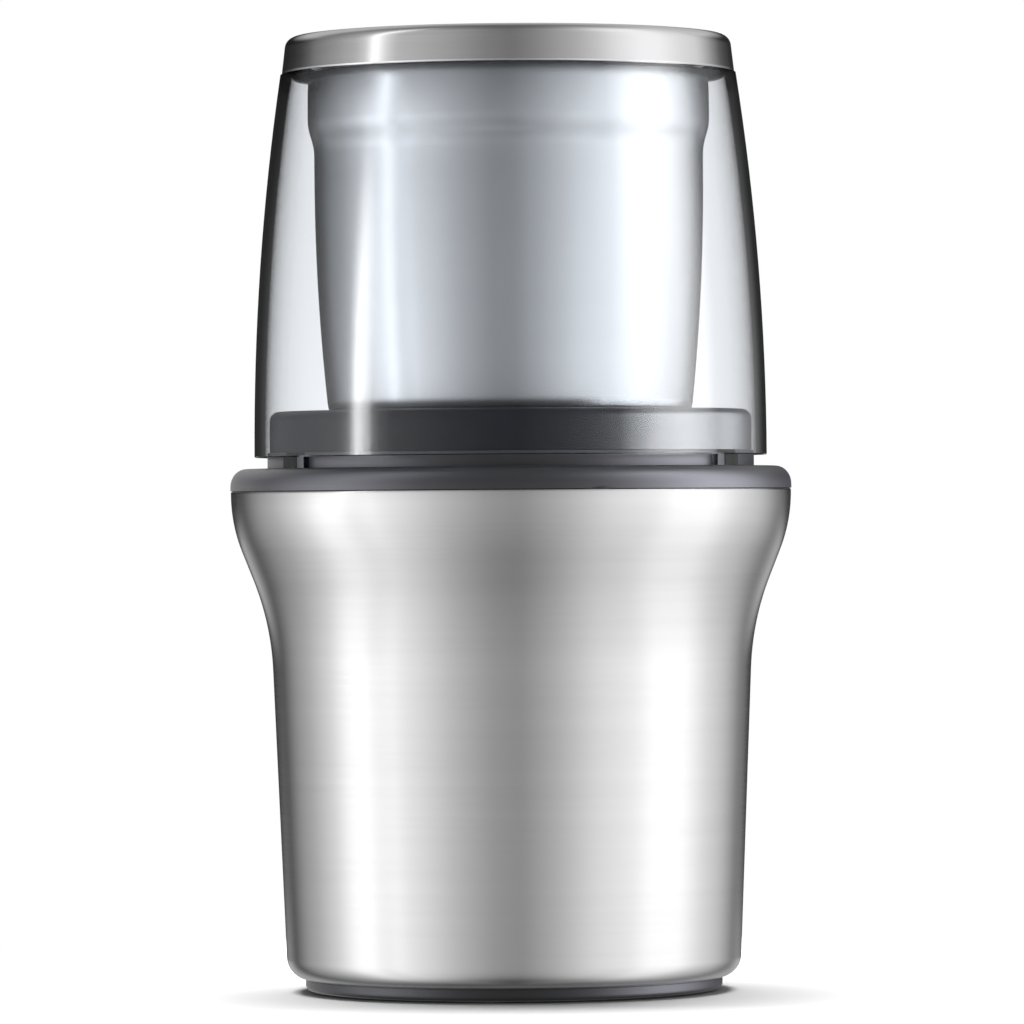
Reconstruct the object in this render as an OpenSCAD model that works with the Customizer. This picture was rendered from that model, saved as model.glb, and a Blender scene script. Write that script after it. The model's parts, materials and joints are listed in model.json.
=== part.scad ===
// Electric spice grinder: a brushed steel motor base, a lift-out steel bowl on a dark base,
// and a clear lid that starts the motor when it is pressed down.
// Millimetres, +Z up, the front faces -Y. The origin is on the floor, on the vertical axis.

/* [Base] */
// How far the rubber feet stand below the base ring
foot_stand = 0.4; // [0.3:0.1:1]
// Radius of each rubber foot
foot_r = 5.5; // [4:0.5:6.5]
// Radius of the circle on which the feet sit
foot_circle_r = 33; // [31:0.5:35]
// Number of rubber feet
foot_count = 4; // [3:1:6]
// Outer radius of the base ring
base_r = 43.7; // [42.5:0.1:44]
// Thickness of the base ring
base_ring_h = 2.4; // [2:0.1:4]
// Rounding of the base ring's lower edge
base_edge_r = 1.2; // [0.5:0.1:1.6]
// Height of the upstand that centres the base in the housing
base_upstand_h = 6; // [4:0.5:8]
// Number of cooling slots in the base
vent_count = 16; // [8:1:20]
// Width of each cooling slot
vent_w = 2.4; // [1.6:0.1:3]

/* [Steel housing] */
// Thickness of the steel
steel_t = 0.8; // [0.6:0.1:1]
// Height of the steel housing
body_h = 102.2; // [100:0.1:112]
// Outer radius just above the bottom corner
body_low_r = 47.6; // [47:0.1:48.2]
// Rounding of the bottom corner
body_corner_r = 4; // [3:0.1:5]
// Outer radius where the flare starts
waist_r = 50.1; // [49.5:0.1:50.6]
// Height of the straight side under the flare
waist_h = 64.7; // [60:0.1:66]
// Outer radius at the top
body_top_r = 58.7; // [58:0.1:60]
// Steepest lean of the flare, in degrees
flare_lean = 21.5; // [20:0.1:23]
// Radius of the hollow bend under the flare
flare_in_r = 58; // [55:1:60]
// Radius of the full bend over the flare
flare_out_r = 33; // [30:1:34]
// Width of the inward flange that sits on the base ring
flange_w = 4; // [2:0.1:5]

/* [Collar] */
// Height of the grey ring on top of the housing
ring_h = 4.2; // [3.8:0.1:6]
// Rounding of the grey ring's top edge
ring_edge_r = 3.3; // [2:0.1:3.6]
// How far the grey ring overhangs the steel
ring_overhang = 0.1; // [0:0.05:0.5]
// Outer radius of the neck
neck_r = 51; // [50.5:0.1:51.2]
// Wall of the neck
neck_wall = 2; // [1.6:0.1:2.2]
// Height of the neck above the grey ring
neck_h = 3.4; // [3:0.1:4]
// Thickness of the deck that carries the motor
deck_t = 2.5; // [2:0.1:3.2]
// Angle from the front to each of the two front notches
notch_angle = 58.5; // [56:0.5:62]
// Width of each notch
notch_w = 7.2; // [6.6:0.1:8]

/* [Press action] */
// Travel of the lid when it is pressed
press_travel = 2.2; // [1.6:0.1:2.4]
// Gap between the lid and the grey ring
lid_gap = 3; // [2.8:0.1:3.4]
// Width of the lid's tabs
tab_w = 5.2; // [4:0.1:5.6]
// Depth of the tabs' lower ends below the top of the grey ring
tab_depth = 2.2; // [1.6:0.1:2.4]
// Wire thickness of a return spring
spring_wire = 0.7; // [0.5:0.05:0.8]
// Outer radius of a return spring
spring_r = 2.5; // [2.2:0.1:2.8]
// Turns of a return spring
spring_turns = 5; // [4:1:7]

/* [Lid] */
// Outer radius at the lid's open end
lid_r = 53.8; // [53.6:0.1:55]
// Wall of the lid
lid_wall = 2.2; // [1.8:0.05:2.3]
// Height from the lid's open end to the cap
lid_side_h = 80.4; // [78:0.1:90]
// Radius of the long curve of the lid's side
lid_curve_r = 542; // [500:1:700]
// Height of the steel cap
cap_h = 7.4; // [7:0.1:9]
// Thickness of the steel cap
cap_t = 0.7; // [0.5:0.05:0.9]
// Rounding of the cap's top edge
cap_edge_r = 1.8; // [1.2:0.1:2]
// How far the cap stands back from the lid's side
cap_inset = 0.35; // [0.2:0.05:0.6]
// Lean of the cap's side, as the radius lost up to its top
cap_lean = 0.6; // [0.2:0.1:1]
// Thickness of the lid's roof
roof_t = 2.2; // [1.8:0.1:2.4]

/* [Bowl] */
// Thickness of the bowl's steel
bowl_t = 0.8; // [0.6:0.1:1]
// Outer radius of the bowl's side at its widest
bowl_r = 40.75; // [40:0.05:41]
// Outer radius of the band under the rim
rim_r = 42.1; // [41.6:0.1:42.4]
// Height of the band under the rim
rim_band_h = 10.4; // [8:0.1:12]
// Height of the slope between side and band
rim_slope_h = 7; // [5:0.5:8]
// Radius of the long curve of the bowl's side
bowl_curve_r = 450; // [430:1:600]
// Rounding of the bowl's bottom corner
bowl_corner_r = 5; // [4:0.1:6]
// Clearance between the bowl's rim and the lid's seal with the lid pressed
rim_gap = 0.35; // [0.3:0.05:0.6]
// Outer radius of the dark base under the bowl
skirt_r = 50.5; // [50:0.1:50.7]
// Height of the dark base above the neck
skirt_h = 8.6; // [8:0.1:10]
// Rounding of the dark base's top edge
skirt_edge_r = 1; // [0.5:0.1:1.5]
// Wall of the dark base
skirt_wall = 2; // [1.6:0.1:2.4]
// Depth of the bowl's seat below the top of the dark base
bowl_sink = 3.8; // [3.4:0.1:4.5]

/* [Blades] */
// Radius swept by the blades
blade_r = 31; // [26:0.5:33]
// Width of a blade at its middle
blade_w = 10; // [8:0.5:12]
// Thickness of a blade
blade_t = 1.2; // [1:0.1:1.6]
// Lean of the blades' wings, in degrees
wing_lean = 12; // [8:1:14]
// Radius at which the wings start
wing_start_r = 12; // [10:0.5:14]
// Radius of the blade shaft
blade_shaft_r = 2.5; // [2:0.1:2.6]

/* [Motor] */
// Radius of the motor shaft
shaft_r = 3; // [2.5:0.1:3.2]
// Length of the stator along X
stator_x = 62; // [60:1:64]
// Width of the stator along Y
stator_y = 50; // [49:0.5:52]
// Height of the stack of laminations
stack_h = 22; // [18:0.5:24]
// Height of the underside of the stack above the floor
stack_z = 44; // [43:0.5:46]
// Radius of the armature
armature_r = 17.7; // [17:0.1:18]
// Air gap between armature and stator
air_gap = 0.5; // [0.4:0.05:0.8]
// Slots in the armature
armature_slots = 12; // [8:1:14]
// Radius of the commutator
commutator_r = 11; // [10:0.5:12]
// Bars of the commutator
commutator_bars = 24; // [16:1:28]
// Radius of the cooling fan
fan_r = 26; // [22:0.5:27]
// Blades of the cooling fan
fan_blades = 11; // [7:1:13]

/* [Hidden] */
$fn = 96;
fine = 0.3; // clearance between pieces that move past each other
slip = 0.05; // clearance between pieces that are fixed together
run = 0.03; // radial clearance of a shaft in its bearing
EPS = 0.01;

base_bottom = foot_stand;
base_top = base_bottom + base_ring_h;
body_top = base_top + body_h;
ring_top = body_top + ring_h;
neck_top = ring_top + neck_h;
ring_r = body_top_r + ring_overhang;
deck_top = ring_top - deck_t;
deck_bottom = deck_top - deck_t;
lid_bottom = ring_top + lid_gap;
cap_bottom = lid_bottom + lid_side_h;
cap_top = cap_bottom + cap_h;

body_lean = atan((waist_r - body_low_r) / (waist_h - body_corner_r));
waist_z = base_top + waist_h;
flange_r = body_low_r - body_corner_r - flange_w;
tab_angles = [-90 - notch_angle, -90 + notch_angle, 90];
key_angles = [-90, 30, 150];
spring_angles = [-60, 60, 180];
tie_angles = [0, 90, 180, 270];

// Points of an arc about c, from angle a0 to a1
function arc(c, r, a0, a1, n = 8) = [for (i = [0:n])
    let (a = a0 + (a1 - a0) * i / n) c + r * [cos(a), sin(a)]];

function reversed(pts) = [for (i = [len(pts) - 1:-1:0]) pts[i]];

// Everything that must be in three places around the axis
module around(angles) for (a = angles) rotate(a) children();

module ring(r_in, r_out, z0, z1) translate([0, 0, z0]) difference() {
    cylinder(r = r_out, h = z1 - z0);
    translate([0, 0, -1]) cylinder(r = r_in, h = z1 - z0 + 2);
}

module disc(r, z0, z1) translate([0, 0, z0]) cylinder(r = r, h = z1 - z0);

// A block whose corners are given
module block(lo, hi) translate(lo) cube(hi - lo);

// ---------- steel housing ----------
// The side of the housing in [radius, height], moved inwards by "inset". Where the flare is shallow,
// its bends meet at a smaller lean, and where it is low, they shrink to fit between waist and top.
flare_w = body_top_r - waist_r;
flare_top_lean = min(flare_lean, acos((flare_in_r * cos(body_lean) + flare_out_r - flare_w)
    / (flare_in_r + flare_out_r)));
bends_w = flare_in_r * (cos(body_lean) - cos(flare_top_lean)) + flare_out_r * (1 - cos(flare_top_lean));
bends_h = flare_in_r * (sin(flare_top_lean) - sin(body_lean)) + flare_out_r * sin(flare_top_lean);
bend_share = min(1, (flare_w * cos(flare_top_lean) - (body_top - waist_z) * sin(flare_top_lean))
    / (bends_w * cos(flare_top_lean) - bends_h * sin(flare_top_lean)));
bend_in_r = flare_in_r * bend_share;
bend_out_r = flare_out_r * bend_share;
body_straight = (flare_w - bends_w * bend_share) / sin(flare_top_lean);
flare_end_z = waist_z + bends_h * bend_share + body_straight * cos(flare_top_lean);
corner_c = [waist_r - body_corner_r * cos(body_lean)
    - (waist_z - body_corner_r * sin(body_lean) - base_top - body_corner_r) * tan(body_lean),
    base_top + body_corner_r];
function body_side(inset) = concat(
    arc(corner_c, body_corner_r - inset, -90, -body_lean, 6),
    arc([waist_r + bend_in_r * cos(body_lean), waist_z - bend_in_r * sin(body_lean)],
        bend_in_r + inset, 180 - body_lean, 180 - flare_top_lean, 8),
    arc([body_top_r - bend_out_r, flare_end_z], bend_out_r - inset, -flare_top_lean, 0, 8),
    [[body_top_r - inset, body_top]]);

gland_z = 14; // height of the cord outlet
gland_hole_r = 5.2;
gland_bore_r = 3.3;
gland_flange_r = 7.5;
gland_inner = 5.5;

module body_solid(inset) rotate_extrude()
    polygon(concat([[0, base_top + inset]], body_side(inset), [[0, body_top]]));

module steel_housing() color("silver") difference() {
    rotate_extrude() polygon(concat([[flange_r, base_top]], body_side(0),
        reversed(body_side(steel_t)), [[flange_r, base_top + steel_t]]));
    translate([0, body_low_r - 2 * gland_inner, gland_z]) rotate([-90, 0, 0])
        cylinder(r = gland_hole_r, h = 4 * gland_inner);
}

module cord_gland() color("#1c1c1e") {
    reach = waist_r + 1.2;
    difference() {
        union() {
            difference() {
                translate([0, body_low_r - 4, gland_z]) rotate([-90, 0, 0])
                    cylinder(r = gland_flange_r, h = reach - body_low_r + 4);
                body_solid(-slip);
            }
            translate([0, body_low_r - gland_inner, gland_z]) rotate([-90, 0, 0])
                cylinder(r = gland_hole_r - slip, h = gland_inner + 2);
            intersection() {
                translate([0, body_low_r - gland_inner, gland_z]) rotate([-90, 0, 0])
                    cylinder(r = gland_flange_r, h = gland_inner + 2);
                body_solid(steel_t + slip);
            }
        }
        translate([0, body_low_r - 2 * gland_inner, gland_z]) rotate([-90, 0, 0])
            cylinder(r = gland_bore_r, h = 4 * gland_inner);
    }
}

// ---------- base ----------
upstand_r = flange_r - slip;
upstand_wall = 2;
foot_recess = 1;
foot_h = foot_stand + foot_recess;
vent_in_r = 12;
vent_out_r = 25;
tie_r = 35.8; // circle of the posts that tie the base to the collar
post_r = 3.7;
tower_r = post_r;
tie_z = 60; // where the base's towers meet the collar's posts
tie_screw_r = 1.75;
tie_screw_head_r = 2.8;
tie_web = 3; // thickness of the tower's end that the screw head pulls on
tie_screw_len = 16;

module at_ties() around(tie_angles) translate([tie_r, 0, 0]) children();

module base_plate() color("#48494d") difference() {
    union() {
        rotate_extrude() polygon(concat([[0, base_bottom]],
            arc([base_r - base_edge_r, base_bottom + base_edge_r], base_edge_r, -90, 0, 5),
            [[base_r, base_top], [upstand_r, base_top], [upstand_r, base_top + base_upstand_h],
            [upstand_r - upstand_wall, base_top + base_upstand_h], [upstand_r - upstand_wall, base_top],
            [0, base_top]]));
        at_ties() disc(tower_r, base_top - EPS, tie_z);
    }
    at_ties() {
        disc(tie_screw_head_r + slip, -1, tie_z - tie_web);
        disc(tie_screw_r + slip, -1, tie_z + 1);
    }
    around([for (i = [0:vent_count - 1]) 360 * i / vent_count])
        block([vent_in_r, -vent_w / 2, 0], [vent_out_r, vent_w / 2, base_top + 1]);
    around([for (i = [0:foot_count - 1]) 360 * (i + 0.5) / foot_count])
        translate([foot_circle_r, 0, 0]) disc(foot_r + slip, 0, base_bottom + foot_recess);
}

module rubber_feet() color("#202022")
    around([for (i = [0:foot_count - 1]) 360 * (i + 0.5) / foot_count])
        translate([foot_circle_r, 0, 0]) rotate_extrude() polygon(concat([[0, 0]],
            arc([foot_r - 0.3, 0.3], 0.3, -90, 0, 3), [[foot_r, foot_h], [0, foot_h]]));

module tie_screws() color("#b8b8bc") at_ties() difference() {
    union() {
        disc(tie_screw_head_r, tie_z - tie_web - 2, tie_z - tie_web);
        disc(tie_screw_r, tie_z - tie_web - 1, tie_z - tie_web + tie_screw_len);
    }
    translate([0, 0, tie_z - tie_web - 2 - 1]) cylinder(r = 1.3, h = 2.2, $fn = 6);
}

// ---------- collar ----------
spigot_r = body_top_r - steel_t - 0.6;
spigot_wall = 1.3;
spigot_h = 4.5;
well_rim_r = 12.5;
dog_hole_r = 11;
well_rim_h = 1.8;
seal_cup_h = 4;
notch_depth = neck_wall + 2 * fine;
slot_in_r = lid_r - lid_wall - fine - slip;
slot_out_r = lid_r + fine;
slot_w = tab_w + 4 * fine;
key_w = 5;
key_out_r = neck_r - neck_wall + 0.7;
motor_post_x = 26; // motor posts stand at (+-x, +-x)
motor_post_r = 4.2;
damper_h = 3.5;
plate_t = 3;
bracket_gap = 10; // from the stack to each bracket's plate
upper_plate_z = stack_z + stack_h + bracket_gap;
damper_z = upper_plate_z + plate_t;
motor_post_z = damper_z + damper_h;
motor_screw_r = 1.75;
motor_screw_len = 17;

press_ring_in_r = 47.2;
press_ring_out_r = 55.4;
press_ring_t = 2;
shoulder_h = 4.2;
press_ring_top = deck_bottom - shoulder_h;
press_ring_z = press_ring_top - press_ring_t;
hanger_w = 8;
shelf_t = 2;
spring_len = 12;
shelf_top = press_ring_z - spring_len;
shelf_gap = 0.35; // from the shelf to the steel
shelf_out_r = lookup(shelf_top - shelf_t, [for (p = body_side(steel_t)) [p[1], p[0]]]) - shelf_gap;
spring_circle_r = shelf_out_r - spring_r + 0.1;
hanger_out_r = min(press_ring_in_r - 0.6, spring_circle_r - spring_r - 0.5);
hanger_in_r = hanger_out_r - 2.2;
spring_pin_r = spring_r - spring_wire - 0.4;
spring_pin_h = 2.5;

switch_x = 40.8; // inner face of the microswitch
switch_w = 6.4;
switch_len = 20;
switch_h = 10.2;
switch_drop = 7.8; // from the press ring to the microswitch
switch_top = press_ring_z - switch_drop;
switch_plate_t = 1.8;
switch_hole_y = 4.75;
switch_hole_z = switch_top - switch_h + 2.6;
switch_screw_r = 1.45;

module at_motor_posts() for (x = [-1, 1], y = [-1, 1])
    translate([x * motor_post_x, y * motor_post_x, 0]) children();

module top_collar() color("#6b6c74") difference() {
    union() {
        rotate_extrude() polygon(concat(
            [[dog_hole_r, deck_bottom - seal_cup_h], [dog_hole_r + 3, deck_bottom - seal_cup_h],
            [dog_hole_r + 3, deck_bottom], [spigot_r - spigot_wall, deck_bottom],
            [spigot_r - spigot_wall, body_top - spigot_h], [spigot_r, body_top - spigot_h],
            [spigot_r, body_top], [ring_r, body_top]],
            arc([ring_r - ring_edge_r, ring_top - ring_edge_r], ring_edge_r, 0, 90, 8),
            [[neck_r, ring_top]],
            arc([neck_r - 0.4, neck_top - 0.4], 0.4, 0, 90, 3),
            [[neck_r - neck_wall, neck_top], [neck_r - neck_wall, deck_top],
            [well_rim_r, deck_top], [well_rim_r, deck_top + well_rim_h],
            [dog_hole_r, deck_top + well_rim_h]]));
        at_motor_posts() disc(motor_post_r, motor_post_z, deck_bottom + EPS);
        at_ties() disc(post_r, tie_z, deck_bottom + EPS);
        around(spring_angles) {
            block([hanger_in_r, -hanger_w / 2, shelf_top - shelf_t],
                [hanger_out_r, hanger_w / 2, deck_bottom + EPS]);
            block([hanger_in_r, -hanger_w / 2, shelf_top - shelf_t], [shelf_out_r, hanger_w / 2, shelf_top]);
            translate([spring_circle_r, 0, 0]) disc(spring_pin_r, shelf_top - EPS, shelf_top + spring_pin_h);
        }
        block([switch_x - switch_plate_t, -switch_len / 2 - 1, switch_top - switch_h - 1],
            [switch_x, switch_len / 2 + 1, deck_bottom + EPS]);
    }
    around(tab_angles) {
        block([neck_r - notch_depth, -notch_w / 2, ring_top], [neck_r + 1, notch_w / 2, neck_top + 1]);
        block([slot_in_r, -slot_w / 2, deck_bottom - 1], [slot_out_r, slot_w / 2, ring_top + 1]);
    }
    around(key_angles)
        block([neck_r - neck_wall - 1, -key_w / 2 - fine, deck_top],
            [key_out_r + fine, key_w / 2 + fine, neck_top + 1]);
    at_motor_posts() disc(motor_screw_r + slip, motor_post_z - 1, motor_post_z + motor_screw_len - 5);
    at_ties() disc(tie_screw_r + slip, tie_z - 1, tie_z + tie_screw_len);
    for (y = [-1, 1]) translate([switch_x - 5, y * switch_hole_y, switch_hole_z]) rotate([0, 90, 0])
        cylinder(r = switch_screw_r + slip, h = 10);
}

well_seal_t = 2;
module well_seal() color("#2a2a2c") rotate_extrude() polygon([
    [shaft_r + 0.1, deck_bottom - seal_cup_h + 0.4], [dog_hole_r - slip, deck_bottom - seal_cup_h + 0.4],
    [dog_hole_r - slip, deck_bottom - seal_cup_h + 0.4 + well_seal_t],
    [shaft_r + 2, deck_bottom - seal_cup_h + 0.4 + well_seal_t],
    [shaft_r + 1.6, deck_bottom - seal_cup_h + 1.4], [shaft_r + 0.1, deck_bottom - seal_cup_h + 1.4]]);

// ---------- press ring and switch ----------
plunger_in_r = slot_in_r + fine;
plunger_out_r = slot_out_r - fine;
plunger_w = tab_w + fine;
plunger_top = ring_top - tab_depth;
tongue_w = 6;
tongue_in_r = 42;

module press_ring() color("#d8d8d4") {
    ring(press_ring_in_r, press_ring_out_r, press_ring_z, press_ring_top);
    around(tab_angles) {
        block([plunger_in_r - 0.6, -slot_w / 2 - 2, press_ring_top - EPS],
            [plunger_out_r + 0.6, slot_w / 2 + 2, deck_bottom]);
        block([plunger_in_r, -plunger_w / 2, deck_bottom - EPS], [plunger_out_r, plunger_w / 2, plunger_top]);
    }
    around(spring_angles) translate([spring_circle_r, 0, 0])
        disc(spring_pin_r, press_ring_z - spring_pin_h, press_ring_z + EPS);
    difference() {
        block([tongue_in_r, -tongue_w / 2 - 3, press_ring_z], [press_ring_in_r + 1, tongue_w / 2 - 3, press_ring_top]);
        disc(press_ring_in_r - EPS, 0, 1);
    }
}

// A helical wire: rings of "sides" points swept along the helix
module coil(r, wire, len, turns, sides = 8, steps = 18) {
    n = round(turns * steps);
    rise = len - wire;
    points = [for (i = [0:n], k = [0:sides - 1])
        let (a = 360 * i / steps, b = 360 * k / sides, q = r - wire / 2 + wire / 2 * cos(b))
        [q * cos(a), q * sin(a), wire / 2 + rise * i / n + wire / 2 * sin(b)]];
    sides_faces = [for (i = [0:n - 1], k = [0:sides - 1]) let (m = (k + 1) % sides)
        [i * sides + k, i * sides + m, (i + 1) * sides + m, (i + 1) * sides + k]];
    ends = [[for (k = [sides - 1:-1:0]) k], [for (k = [0:sides - 1]) n * sides + k]];
    polyhedron(points = points, faces = [for (f = concat(sides_faces, ends)) reversed(f)]);
}

module return_springs() color("#c8c8cc") around(spring_angles)
    translate([spring_circle_r, 0, shelf_top]) coil(spring_r, spring_wire, spring_len, spring_turns);

lever_pin_y = 8.6;
lever_pin_z = switch_top + 1;
lever_contact_y = -3;
lever_arm = lever_pin_y - lever_contact_y;
lever_t = 0.5;
lever_w = 4;
lever_rise = atan((press_ring_z - fine - lever_t - lever_pin_z) / lever_arm);
button_y = 5.6;
button_r = 1.1;
switch_mid_x = switch_x + switch_w / 2;
button_top = lever_pin_z + (lever_pin_y - button_y) * tan(lever_rise) - lever_t - fine;

module switch_body() color("#1e1e20") difference() {
    union() {
        block([switch_x, -switch_len / 2, switch_top - switch_h],
            [switch_x + switch_w, switch_len / 2, switch_top]);
        for (x = [switch_x, switch_x + switch_w - 0.8])
            block([x, lever_pin_y - 1.2, switch_top - EPS], [x + 0.8, lever_pin_y + 1.2, lever_pin_z + 1.2]);
    }
    translate([switch_x - 1, lever_pin_y, lever_pin_z]) rotate([0, 90, 0])
        cylinder(r = 0.6 + run, h = switch_w + 2);
    translate([switch_mid_x, button_y, 0]) disc(button_r + run + 0.02, switch_top - 4, switch_top + 1);
    for (y = [-1, 1]) translate([switch_x - 1, y * switch_hole_y, switch_hole_z]) rotate([0, 90, 0])
        cylinder(r = switch_screw_r + slip, h = switch_w + 2);
}

module switch_lever() color("#c8c8cc") {
    translate([switch_x, lever_pin_y, lever_pin_z]) rotate([0, 90, 0]) cylinder(r = 0.6, h = switch_w);
    translate([switch_mid_x, lever_pin_y, lever_pin_z]) rotate([-lever_rise, 0, 0])
        block([-lever_w / 2, -lever_arm - 2, -lever_t / 2], [lever_w / 2, 0, lever_t / 2]);
}

module switch_button() color("firebrick") translate([switch_mid_x, button_y, 0]) {
    disc(button_r, switch_top - 2.5, button_top - 0.3);
    translate([0, 0, button_top - 0.3 - EPS]) cylinder(r1 = button_r, r2 = button_r - 0.3, h = 0.3 + EPS);
}

module switch_terminals() color("#c9a24a") for (y = [-7, 0, 7]) difference() {
    block([switch_mid_x - 0.4, y - 1.6, switch_top - switch_h - 6],
        [switch_mid_x + 0.4, y + 1.6, switch_top - switch_h]);
    translate([switch_mid_x - 1, y, switch_top - switch_h - 4]) rotate([0, 90, 0]) cylinder(r = 0.6, h = 2);
}

module switch_screws() color("#b8b8bc") for (y = [-1, 1])
    translate([switch_x + switch_w, y * switch_hole_y, switch_hole_z]) rotate([0, -90, 0]) {
        cylinder(r = switch_screw_r, h = switch_w + switch_plate_t);
        translate([0, 0, -1.4]) difference() {
            cylinder(r = 2.5, h = 1.4);
            translate([0, 0, -0.5]) cylinder(r = 1, h = 1.2, $fn = 6);
        }
    }

// ---------- motor ----------
stack_top = stack_z + stack_h;
bore_r = armature_r + air_gap;
bolt_x = 15.5; // through-bolts of the motor
bolt_y = 20.5;
bolt_r = 1.9;
boss_r = 3.6;
neck_half_w = 9; // half width of a field pole
pole_x0 = bore_r + 3.4;
pole_x1 = stator_x / 2 - 4;
coil_out_y = neck_half_w + 10;
window_y = coil_out_y + fine;
bobbin_t = 0.8;
flange_t = 0.6;
coil_over = 5.5; // how far the field coils stand out above and below the stack
lower_plate_top = stack_z - 24;
lower_plate_z = lower_plate_top - plate_t;
hub_r = 7.5;
bush_r = 4.6;
bush_len = 7;

module at_bolts() for (x = [-1, 1], y = [-1, 1]) translate([x * bolt_x, y * bolt_y, 0]) children();

module rounded_rect(x, y, r) {
    square([x - 2 * r, y], center = true);
    square([x, y - 2 * r], center = true);
    for (i = [-1, 1], j = [-1, 1]) translate([i * (x / 2 - r), j * (y / 2 - r)]) circle(r = r);
}

module stator_core() color("#7d7f84") difference() {
    translate([0, 0, stack_z]) linear_extrude(stack_h) difference() {
        rounded_rect(stator_x, stator_y, 8);
        circle(r = bore_r);
        for (s = [-1, 1]) {
            translate([-9, s * (bore_r - 3) - (s < 0 ? 5 : 0)]) square([18, 5]);
            for (t = [-1, 1]) mirror([s < 0 ? 1 : 0, 0]) mirror([0, t < 0 ? 1 : 0])
                translate([pole_x0, neck_half_w]) square([pole_x1 - pole_x0, window_y - neck_half_w]);
        }
        for (x = [-1, 1], y = [-1, 1]) translate([x * bolt_x, y * bolt_y]) circle(r = bolt_r + slip);
    }
}

// A rectangular frame round a field pole, from x0 to x1, between two half sizes in Y and Z
module pole_frame(x0, x1, in_y, in_z, out_y, out_z) translate([x0, 0, stack_z + stack_h / 2])
    rotate([90, 0, 90]) linear_extrude(x1 - x0) difference() {
        square([2 * out_y, 2 * out_z], center = true);
        square([2 * in_y, 2 * in_z], center = true);
    }

module both_poles() for (s = [0, 180]) rotate(s) children();

pole_slip = 0.15;
bobbin_in = [neck_half_w + pole_slip, stack_h / 2 + pole_slip];
bobbin_out = bobbin_in + [bobbin_t, bobbin_t];
coil_out = [coil_out_y - slip, stack_h / 2 + coil_over];
bobbin_x0 = pole_x0 + slip;
bobbin_x1 = pole_x1 - slip;

module coil_bobbins() color("#e6e2d4") both_poles() {
    pole_frame(bobbin_x0, bobbin_x1, bobbin_in[0], bobbin_in[1], bobbin_out[0], bobbin_out[1]);
    for (x = [bobbin_x0, bobbin_x1 - flange_t])
        pole_frame(x, x + flange_t, bobbin_in[0], bobbin_in[1], coil_out[0], coil_out[1] + 0.6);
}

module field_coils() color("#b5692e") both_poles()
    pole_frame(bobbin_x0 + flange_t, bobbin_x1 - flange_t, bobbin_out[0], bobbin_out[1],
        coil_out[0] - 0.4, coil_out[1]);

module upper_bracket() color("#b9bbc0") difference() {
    union() {
        translate([0, 0, upper_plate_z]) linear_extrude(plate_t) {
            for (a = [45, 135]) rotate(a) square([2 * motor_post_x * sqrt(2), 9], center = true);
            for (x = [-1, 1], y = [-1, 1]) {
                translate([x * motor_post_x, y * motor_post_x]) circle(r = 5.5);
                translate([x * bolt_x, y * bolt_y]) circle(r = boss_r + 1);
            }
            circle(r = hub_r + 4);
        }
        at_bolts() disc(boss_r, stack_top, upper_plate_z + EPS);
        disc(hub_r, upper_plate_z, upper_plate_z + plate_t + 5);
    }
    disc(bush_r, upper_plate_z - 1, upper_plate_z + plate_t + 6);
    at_bolts() disc(bolt_r + slip, stack_top - 1, upper_plate_z + plate_t + 1);
    at_motor_posts() disc(motor_screw_r + slip, upper_plate_z - 1, upper_plate_z + plate_t + 1);
}

holder_z = 29.5; // height of the brush holders' axis
holder_out = 9;
brush_w = 6;
brush_t = 5;
cheek_y = 17;
cheek_t = 3;
cheek_half_w = bolt_x;
lower_hub_z = lower_plate_z - 3;

module lower_bracket() color("#b9bbc0") difference() {
    union() {
        translate([0, 0, lower_plate_z]) linear_extrude(plate_t) {
            rounded_rect(2 * (bolt_x + boss_r), 2 * (bolt_y + boss_r), boss_r);
        }
        at_bolts() disc(boss_r, lower_plate_top - EPS, stack_z);
        disc(hub_r, lower_hub_z, lower_plate_top + 1);
        for (s = [0, 180]) rotate(s)
            block([-cheek_half_w, cheek_y, lower_plate_top - EPS], [cheek_half_w, cheek_y + cheek_t, holder_z + 8]);
    }
    disc(bush_r, lower_hub_z - 1, lower_plate_top + 2);
    at_bolts() disc(bolt_r + slip, lower_plate_z - 1, stack_z + 1);
    for (x = [-1, 1]) translate([x * 12.5, 0, 0]) block([-3, -12, lower_plate_z - 1], [3, 12, lower_plate_top + 1]);
    for (s = [0, 180]) rotate(s)
        translate([0, cheek_y + cheek_t / 2, holder_z])
            cube([holder_out + 2 * slip, cheek_t + 1, holder_out + 2 * slip], center = true);
}

module through_bolts() color("#a8aab0") at_bolts() {
    top = upper_plate_z + plate_t;
    disc(bolt_r, lower_plate_z - 1, top + 3.4);
    difference() {
        disc(3.2, lower_plate_z - 2.4, lower_plate_z);
        translate([0, 0, lower_plate_z - 3]) cylinder(r = 1.4, h = 2, $fn = 6);
    }
    difference() {
        translate([0, 0, top]) cylinder(r = 3.3, h = 2.4, $fn = 6);
        disc(bolt_r - slip, top - 1, top + 3);
    }
}

module vibration_dampers() color("#2a2a2c") at_motor_posts() {
    waist = 0.6;
    rotate_extrude() polygon([[motor_screw_r + 0.2, damper_z], [4.6, damper_z],
        [4.6, damper_z + 1], [4.6 - waist, damper_z + damper_h / 2], [4.6, motor_post_z - 1],
        [4.6, motor_post_z], [motor_screw_r + 0.2, motor_post_z]]);
}

module motor_screws() color("#b8b8bc") at_motor_posts() difference() {
    union() {
        disc(3.4, upper_plate_z - 2.2, upper_plate_z);
        disc(motor_screw_r, upper_plate_z - 1, upper_plate_z - 1 + motor_screw_len);
    }
    translate([0, 0, upper_plate_z - 3]) cylinder(r = 1.4, h = 2, $fn = 6);
}

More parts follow.
